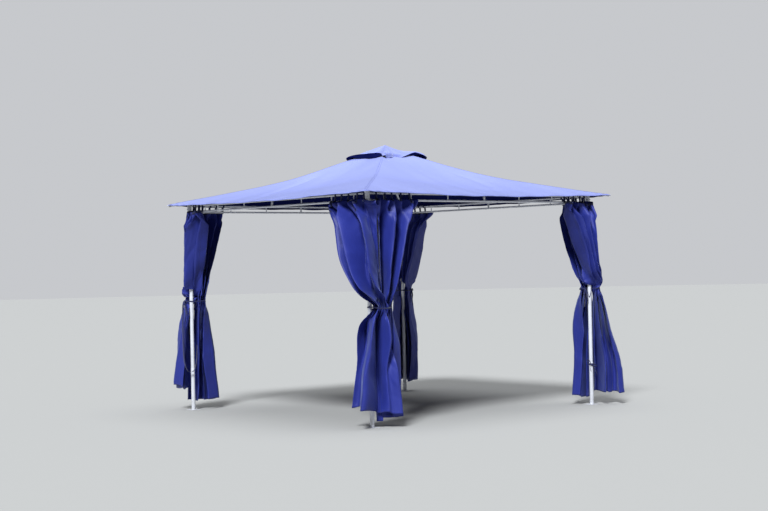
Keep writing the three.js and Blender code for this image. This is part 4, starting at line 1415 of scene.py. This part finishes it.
# Tape
class Bands:
    """Strips of tape, gathered for one piece, with flat coordinates along them in metres."""

    def __init__(self):
        self.points = []
        self.faces = []
        self.uvs = []
        self.length = 0.0
        self.area = 0.0

    def band(self, path, across, width=TAPE_WIDTH):
        path = np.asarray(path, float)
        across = np.broadcast_to(np.asarray(across, float), path.shape)
        shares = np.array((-0.5, -0.25, 0, 0.25, 0.5)) * width
        along = run_of(path)
        grid = path[:, None, :] + across[:, None, :] * shares[None, :, None]
        self.sheet(grid, np.stack(np.meshgrid(shares, along), axis=-1))
        self.length += along[-1]
        self.area += along[-1] * width

    def sheet(self, grid, uvs, closed=False):
        rows, columns = grid.shape[:2]
        self.faces += (grid_faces(rows, columns, closed) + len(self.points)).tolist()
        self.points += grid.reshape(-1, 3).tolist()
        self.uvs += uvs.reshape(-1, 2).tolist()

    # A small tight knot: a lump with the tape's turns across it.
    def knot(self, centre, out, size=0.017):
        side = np.cross(UP, out)
        a, b = np.meshgrid(np.linspace(0, math.tau, 24, endpoint=False), np.linspace(0.04, math.pi - 0.04, 13))
        swell = 1 + 0.13 * np.sin(3 * b + a) + 0.09 * np.cos(2 * a - 2 * b)
        grid = (
            centre + size * (swell * np.sin(b) * np.cos(a))[:, :, None] * side
            + 0.7 * size * (swell * np.sin(b) * np.sin(a))[:, :, None] * out
            + 0.85 * size * (swell * np.cos(b))[:, :, None] * np.array(UP)
        )
        self.sheet(grid, np.stack([a * size, b * size], axis=-1), closed=True)

    def piece(self, name):
        made = add_mesh(name, self.points, self.faces, [TAPE], self.uvs)
        thicken(made, TAPE_THICK)
        return settle(made, "curtain_fabric")


# Smooth path through a few points, for a hanging tape.
def smooth_path(points, count):
    points = np.asarray(points, float)
    last = len(points) - 1
    t = np.linspace(0, last, count)
    i = np.clip(t.astype(int), 0, last - 1)
    return led_curve(*(points[np.clip(i + k, 0, last)] for k in (-1, 0, 1, 2)), (t - i)[:, None])


STRAP = {"width": TAPE_WIDTH * 0.9, "apart": 0.0016, "down": 0.030, "sewn": 0.004, "wrap": 0.0012}
HOOK_SEAT = {"out": 0.006, "down": 0.020}


# Straps that hold a curtain's top to both tubes, and the gathering tape along its inner face.
def make_straps(corner, kind, grid):
    along, outward = rail_axes(corner, kind)
    base = post_plan(corner)
    bands = Bands()
    wrap, apart = RAIL_RADIUS + STRAP["wrap"], STRAP["apart"]
    over = [math.radians(angle) for angle in range(-20, 301, 20)]
    for place in grid[0, STRAP_COLUMNS]:
        a, d = (place[:2] - base) @ along, max((place[:2] - base) @ outward, RAIL_RADIUS + RAIL_CLEAR)
        low, sewn = place[2] - STRAP["down"], place[2] - STRAP["sewn"]
        profile = [
            (d + apart, low), (d + apart, sewn), (wrap + 0.001, UPPER_RAIL_Z - 0.014),
            *((wrap * math.cos(t), UPPER_RAIL_Z + wrap * math.sin(t)) for t in over),
            (d - apart, sewn), (d - apart, low),
        ]
        root = base + along * a
        bands.band([(*(root + outward * r), z) for r, z in profile], (*along, 0), STRAP["width"])
        HOOKS.append(((*(root + outward * (d + HOOK_SEAT["out"])), place[2] - HOOK_SEAT["down"]), (*outward, 0)))
    normals = grid_normals(grid)
    tape = grid[:3] - normals[:3] * np.sign(normals[0, COLUMNS // 2, :2] @ outward) * apart
    widths = np.linspace(0, CURTAIN_WIDTH, COLUMNS)
    bands.sheet(tape, np.stack(np.meshgrid(widths, (0, 0.014, 0.028)), axis=-1))
    return bands.piece(f"curtain_straps_{corner}_{kind}")


# Outline round points in plan, as a taut band would lie, with even steps.
def taut_outline(points, step=0.008):
    points = sorted(map(tuple, points))
    turn = lambda a, b, c: (b[0] - a[0]) * (c[1] - a[1]) - (b[1] - a[1]) * (c[0] - a[0])
    halves = []
    for run in (points, points[::-1]):
        half = []
        for point in run:
            while len(half) > 1 and turn(half[-2], half[-1], point) <= 0:
                half.pop()
            half.append(point)
        halves += half[:-1]
    outline = np.array([*halves, halves[0]])
    along = run_of(outline)
    return at_places(np.linspace(0, along[-1], int(along[-1] / step)), along, outline)


# The place of a point that is given from a post, to the right, towards the camera's side, and up.
def by_post(corner, right, near, z):
    return np.array([*(post_plan(corner) + from_eye(right, near)), z])


# The side of each post that its tieback's knot is on, and its loose ends, as in by_post.
TIES = {
    "front_left": {"knot": (-0.2, -1.0), "tails": [
        [(0.03, -0.12, 1.045), (0.02, -0.135, 1.00), (0.03, -0.14, 0.93), (0.02, -0.135, 0.87)],
        [(0.04, -0.12, 1.045), (0.06, -0.14, 1.01), (0.07, -0.145, 0.95), (0.08, -0.14, 0.90)],
    ]},
    "front_right": {"knot": (-1.0, 0.3), "drop": 0.09, "tails": [
        [(-0.050, 0.030, 1.145), (-0.058, 0.036, 1.10), (-0.050, 0.040, 1.03), (-0.056, 0.040, 0.97)],
        [(-0.050, 0.030, 1.145), (-0.035, 0.045, 1.11), (-0.030, 0.048, 1.06), (-0.022, 0.046, 1.03)],
    ]},
    "back_left": {"knot": (-0.8, 0.6), "tails": [
        [(-0.072, 0.045, 1.095), (-0.080, 0.060, 1.03), (-0.084, 0.066, 0.80), (-0.078, 0.066, 0.52),
         (-0.050, 0.062, 0.41), (-0.010, 0.055, 0.385), (0.030, 0.060, 0.42), (0.050, 0.062, 0.53),
         (0.056, 0.060, 0.66)],
        [(-0.072, 0.045, 1.095), (-0.060, 0.062, 1.06), (-0.052, 0.064, 1.01), (-0.045, 0.060, 0.97)],
    ]},
    "back_right": {"knot": (0.9, 0.4), "tails": [
        [(0.095, 0.060, 1.135), (0.105, 0.068, 1.09), (0.100, 0.070, 1.02), (0.108, 0.068, 0.96)],
        [(0.095, 0.060, 1.135), (0.085, 0.072, 1.10), (0.082, 0.074, 1.05), (0.076, 0.070, 1.00)],
    ]},
}


KNOT_OUT = 0.008  # from the tape's middle
TIE_OFF = 0.0015  # from what it goes round
TIE_UNEVEN = (0.006, 0.003)  # its ups and downs, once and three times round
TAIL_WIDTH = TAPE_WIDTH * 0.8
DROP = {"near": 0.022, "reach": 0.008}  # where a tie lies lower: at a post's near side


# A tape drawn tight round a post and its two curtains, with a knot and two loose ends. Drop is how much lower
# it lies across the post's near side.
def make_tie(corner, grids):
    z = HANGS[corner, "side"]["tie"]
    bundle = np.concatenate([grid[np.abs(grid[:, :, 2] - z) < 0.014][:, :2] for grid in grids])
    angles = np.linspace(0, math.tau, 24, endpoint=False)
    post = post_plan(corner) + (POST_RADIUS + 0.001) * np.stack([np.cos(angles), np.sin(angles)], axis=-1)
    line = taut_outline([*bundle, *post])
    middle = line.mean(axis=0)
    away = line - middle
    line = line + away / np.linalg.norm(away, axis=1, keepdims=True) * TIE_OFF
    aim = from_eye(*TIES[corner]["knot"])
    start = int(np.argmax((line - middle) @ aim))
    line = np.roll(line[:-1], -start, axis=0)
    line = np.concatenate([line, line[:1]])
    turn = np.linspace(0, math.tau, len(line))
    post_side = np.exp(-(((line - post_plan(corner)) @ EYE_NEAR - DROP["near"]) / DROP["reach"]) ** 2)
    once, thrice = TIE_UNEVEN
    heights = z + once * np.sin(turn) + thrice * np.sin(3 * turn) - TIES[corner].get("drop", 0) * post_side
    path = np.concatenate([line, heights[:, None]], axis=1)
    bands = Bands()
    lean = np.stack([0.10 * np.sin(5 * turn), 0.10 * np.cos(4 * turn), np.ones_like(turn)], axis=-1)
    bands.band(path, lean / np.linalg.norm(lean, axis=1, keepdims=True), TIE_WIDTH)
    out = np.array([*(aim / np.linalg.norm(aim)), 0])
    centre = path[0] + out * KNOT_OUT
    bands.knot(centre, out)
    for tail in TIES[corner]["tails"]:
        end = [centre, *(by_post(corner, *place) for place in tail)]
        loose = smooth_path(end, 12 * len(end))
        twist = np.linspace(0.3, 1.3, len(loose))[:, None]
        across = np.cos(twist) * np.array([*EYE_RIGHT, 0]) + np.sin(twist) * np.array([*EYE_NEAR, 0])
        bands.band(loose, across, TAIL_WIDTH)
    tie = bands.piece(f"tie_band_{corner}")
    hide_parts(f"tieback_{corner}")


BOW_Z = 0.398
BOW_WIDTH = 0.012  # of its tape
BOW_KNOT = (0.0, 0.030, 0.0)
BOW = [  # two loops and two ends, as in by_post but with heights from the knot
    [BOW_KNOT, (-0.020, 0.036, 0.036), (-0.044, 0.036, 0.046), (-0.036, 0.034, 0.014), BOW_KNOT],
    [BOW_KNOT, (0.026, 0.036, 0.006), (0.050, 0.036, -0.016), (0.030, 0.034, -0.022), BOW_KNOT],
    [BOW_KNOT, (-0.012, 0.036, -0.030), (-0.004, 0.034, -0.070)],
    [BOW_KNOT, (0.024, 0.038, -0.034), (0.048, 0.036, -0.078), (0.052, 0.036, -0.105)],
]


# A tape tied round the front right post in a small bow, left from an older tie.
def make_bow():
    corner = "front_right"
    bands = Bands()
    turns = [from_eye(math.sin(a), math.cos(a)) for a in np.linspace(0, math.tau, 25)]
    bands.band([(*(post_plan(corner) + (POST_RADIUS + 0.0015) * turn), BOW_Z) for turn in turns], UP, BOW_WIDTH)
    out = np.array([*EYE_NEAR, 0])
    bands.knot(by_post(corner, 0.002, 0.028, BOW_Z), out, 0.009)
    for loop in BOW:
        path = smooth_path([by_post(corner, right, near, BOW_Z + up) for right, near, up in loop], 30)
        bands.band(path, out * 0.6 + np.array(UP) * 0.8, BOW_WIDTH)
    tie = bands.piece("loose_bow")


# Geometry Nodes
class Growth:
    """A node tree that grows a repeating detail from an input mesh."""

    def __init__(self, name, **sizes):
        self.tree = bpy.data.node_groups.new(name, "GeometryNodeTree")
        self.tree.interface.new_socket("Geometry", in_out="INPUT", socket_type="NodeSocketGeometry")
        self.tree.interface.new_socket("Geometry", in_out="OUTPUT", socket_type="NodeSocketGeometry")
        self.keys = {}
        for size in sizes:
            made = self.tree.interface.new_socket(size, in_out="INPUT", socket_type="NodeSocketFloat")
            self.keys[size] = made.identifier
        self.sizes = sizes
        self.inputs = self.tree.nodes.new("NodeGroupInput")

    def size(self, name):
        return next(s for s in self.inputs.outputs if s.name == name)

    def node(self, kind, settings, sockets):
        made = self.tree.nodes.new(kind)
        for key, value in settings.items():
            setattr(made, key, value)
        for key, value in sockets.items():
            if isinstance(value, bpy.types.NodeSocket):
                self.tree.links.new(value, made.inputs[key])
            elif isinstance(value, list):
                for socket in reversed(value):
                    self.tree.links.new(socket, made.inputs[key])
            else:
                made.inputs[key].default_value = value
        return made.outputs

    def times(self, name, factor):
        return self.node("ShaderNodeMath", {"operation": "MULTIPLY"}, {0: self.size(name), 1: factor})[0]

    # Copies of a shape at the input's points, each upright on the direction that its point faces.
    def copies(self, shape):
        named = {"data_type": "FLOAT_VECTOR"}
        facing = self.node("GeometryNodeInputNamedAttribute", named, {"Name": "facing"})[0]
        turn = self.node("FunctionNodeAlignRotationToVector", {"axis": "Z"}, {"Vector": facing})[0]
        return self.node("GeometryNodeInstanceOnPoints", {}, {
            "Points": self.inputs.outputs["Geometry"], "Instance": shape, "Rotation": turn,
        })[0]

    def grow(self, geometry, name, seed_piece, material):
        """Ends the tree and turns its result into a plain mesh piece."""
        real = self.node("GeometryNodeRealizeInstances", {}, {"Geometry": geometry})[0]
        dressed = self.node("GeometryNodeSetMaterial", {}, {"Geometry": real, "Material": material})[0]
        self.node("NodeGroupOutput", {}, {"Geometry": dressed})
        modifier = seed_piece.modifiers.new(name, "NODES")
        modifier.node_group = self.tree
        for size, value in self.sizes.items():
            modifier[self.keys[size]] = value
        graph = bpy.context.evaluated_depsgraph_get()
        mesh = bpy.data.meshes.new_from_object(seed_piece.evaluated_get(graph), depsgraph=graph)
        seed_piece.modifiers.remove(modifier)
        bpy.data.objects.remove(seed_piece)
        return add_object(name, mesh)


# A mesh of loose points, each with the direction that its detail faces.
def seed_points(name, places, facing):
    mesh = bpy.data.meshes.new(name)
    mesh.from_pydata([tuple(p) for p in places], [], [])
    layer = mesh.attributes.new("facing", "FLOAT_VECTOR", "POINT")
    layer.data.foreach_set("vector", np.asarray([tuple(v) for v in facing], float).ravel())
    return add_object(name, mesh)


# Even places along a line, with the directions that it runs there.
def even_places(line, pitch):
    along = run_of(line)
    marks = np.arange(pitch / 2, along[-1], pitch)
    places, ahead = (at_places(marks + shift, along, line) for shift in (0, pitch / 4))
    return places, ahead - places


# Short threads in rows along seams.
def make_stitches(name, seams, pitch, slot):
    g = Growth(name, length=pitch * 0.72, radius=0.0008)
    thread = g.node("GeometryNodeMeshCylinder", {}, {
        "Vertices": 4, "Radius": g.size("radius"), "Depth": g.size("length"),
    })[0]
    places, ahead = zip(*(even_places(seam, pitch) for seam in seams))
    seeds = seed_points(f"{name}_places", np.concatenate(places), np.concatenate(ahead))
    return settle(g.grow(g.copies(thread), name, seeds, THREAD), slot)


# Rings of milky plastic that hook the straps to the gathering tape.
def make_hooks(finish):
    g = Growth("strap_rings", ring=0.0075, wire=0.0013)
    circle, profile = (
        g.node("GeometryNodeCurvePrimitiveCircle", {}, {"Resolution": sides, "Radius": g.size(size)})[0]
        for sides, size in ((24, "ring"), (8, "wire"))
    )
    ring = g.node("GeometryNodeCurveToMesh", {}, {"Curve": circle, "Profile Curve": profile})[0]
    seeds = seed_points("hook_places", *zip(*HOOKS))
    settle(g.grow(g.copies(ring), "strap_hooks", seeds, finish), "curtain_fabric")


# Six-sided heads with a crowned top, each on its washer.
def make_bolts(finish):
    g = Growth("bolt_heads", radius=0.0058, height=0.0042, washer=0.0078)
    hexagon, disc = (
        g.node("GeometryNodeMeshCylinder", {}, {"Vertices": sides, "Radius": g.size(size), "Depth": depth})[0]
        for sides, size, depth in ((6, "radius", g.size("height")), (32, "washer", 0.0012))
    )
    crown = g.node("GeometryNodeMeshCone", {}, {
        "Vertices": 24, "Radius Top": g.times("radius", 0.6), "Radius Bottom": g.times("radius", 0.86),
        "Depth": 0.0008,
    })[0]
    raised = g.node("ShaderNodeCombineXYZ", {}, {"Z": g.times("height", 0.7)})[0]
    head, top = (
        g.node("GeometryNodeTransform", {}, {"Geometry": shape, "Translation": move})[0]
        for shape, move in ((hexagon, raised), (crown, (0, 0, 0.0050)))
    )
    whole = g.node("GeometryNodeJoinGeometry", {}, {0: [head, top, disc]})[0]
    seeds = seed_points("bolt_places", *zip(*BOLTS))
    settle(g.grow(g.copies(whole), "bolts", seeds, finish), "steel")


# The gazebo
make_camera()
STEEL = steel_finish()
CURTAIN = curtain_finish()
ROOF = roof_finish()
LINING = lining_finish()
TAPE = tape_finish()
THREAD = thread_finish()
make_frame()
make_bolts(zinc_finish())
make_cap(make_canopy())
hung = {}
for corner in CORNERS:
    for kind in KINDS:
        hung[corner, kind] = hang_curtain(corner, kind, seed=len(hung) + 1)
relax(hung)
for number, ((corner, kind), piece) in enumerate(hung.items()):
    crease(corner, kind, piece, number + 200)
for corner in CORNERS:
    make_tie(corner, [grid_of(hung[corner, kind]) for kind in KINDS])
for (corner, kind), piece in hung.items():
    finish_curtain(corner, kind, piece)
make_bow()
make_hooks(hook_finish())
for name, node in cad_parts.items():
    if name.startswith("foot_plate"):
        node.data.materials.clear()
        node.data.materials.append(STEEL)
make_stage()
make_room()
make_light()
bpy.context.scene.view_settings.view_transform = "Standard"
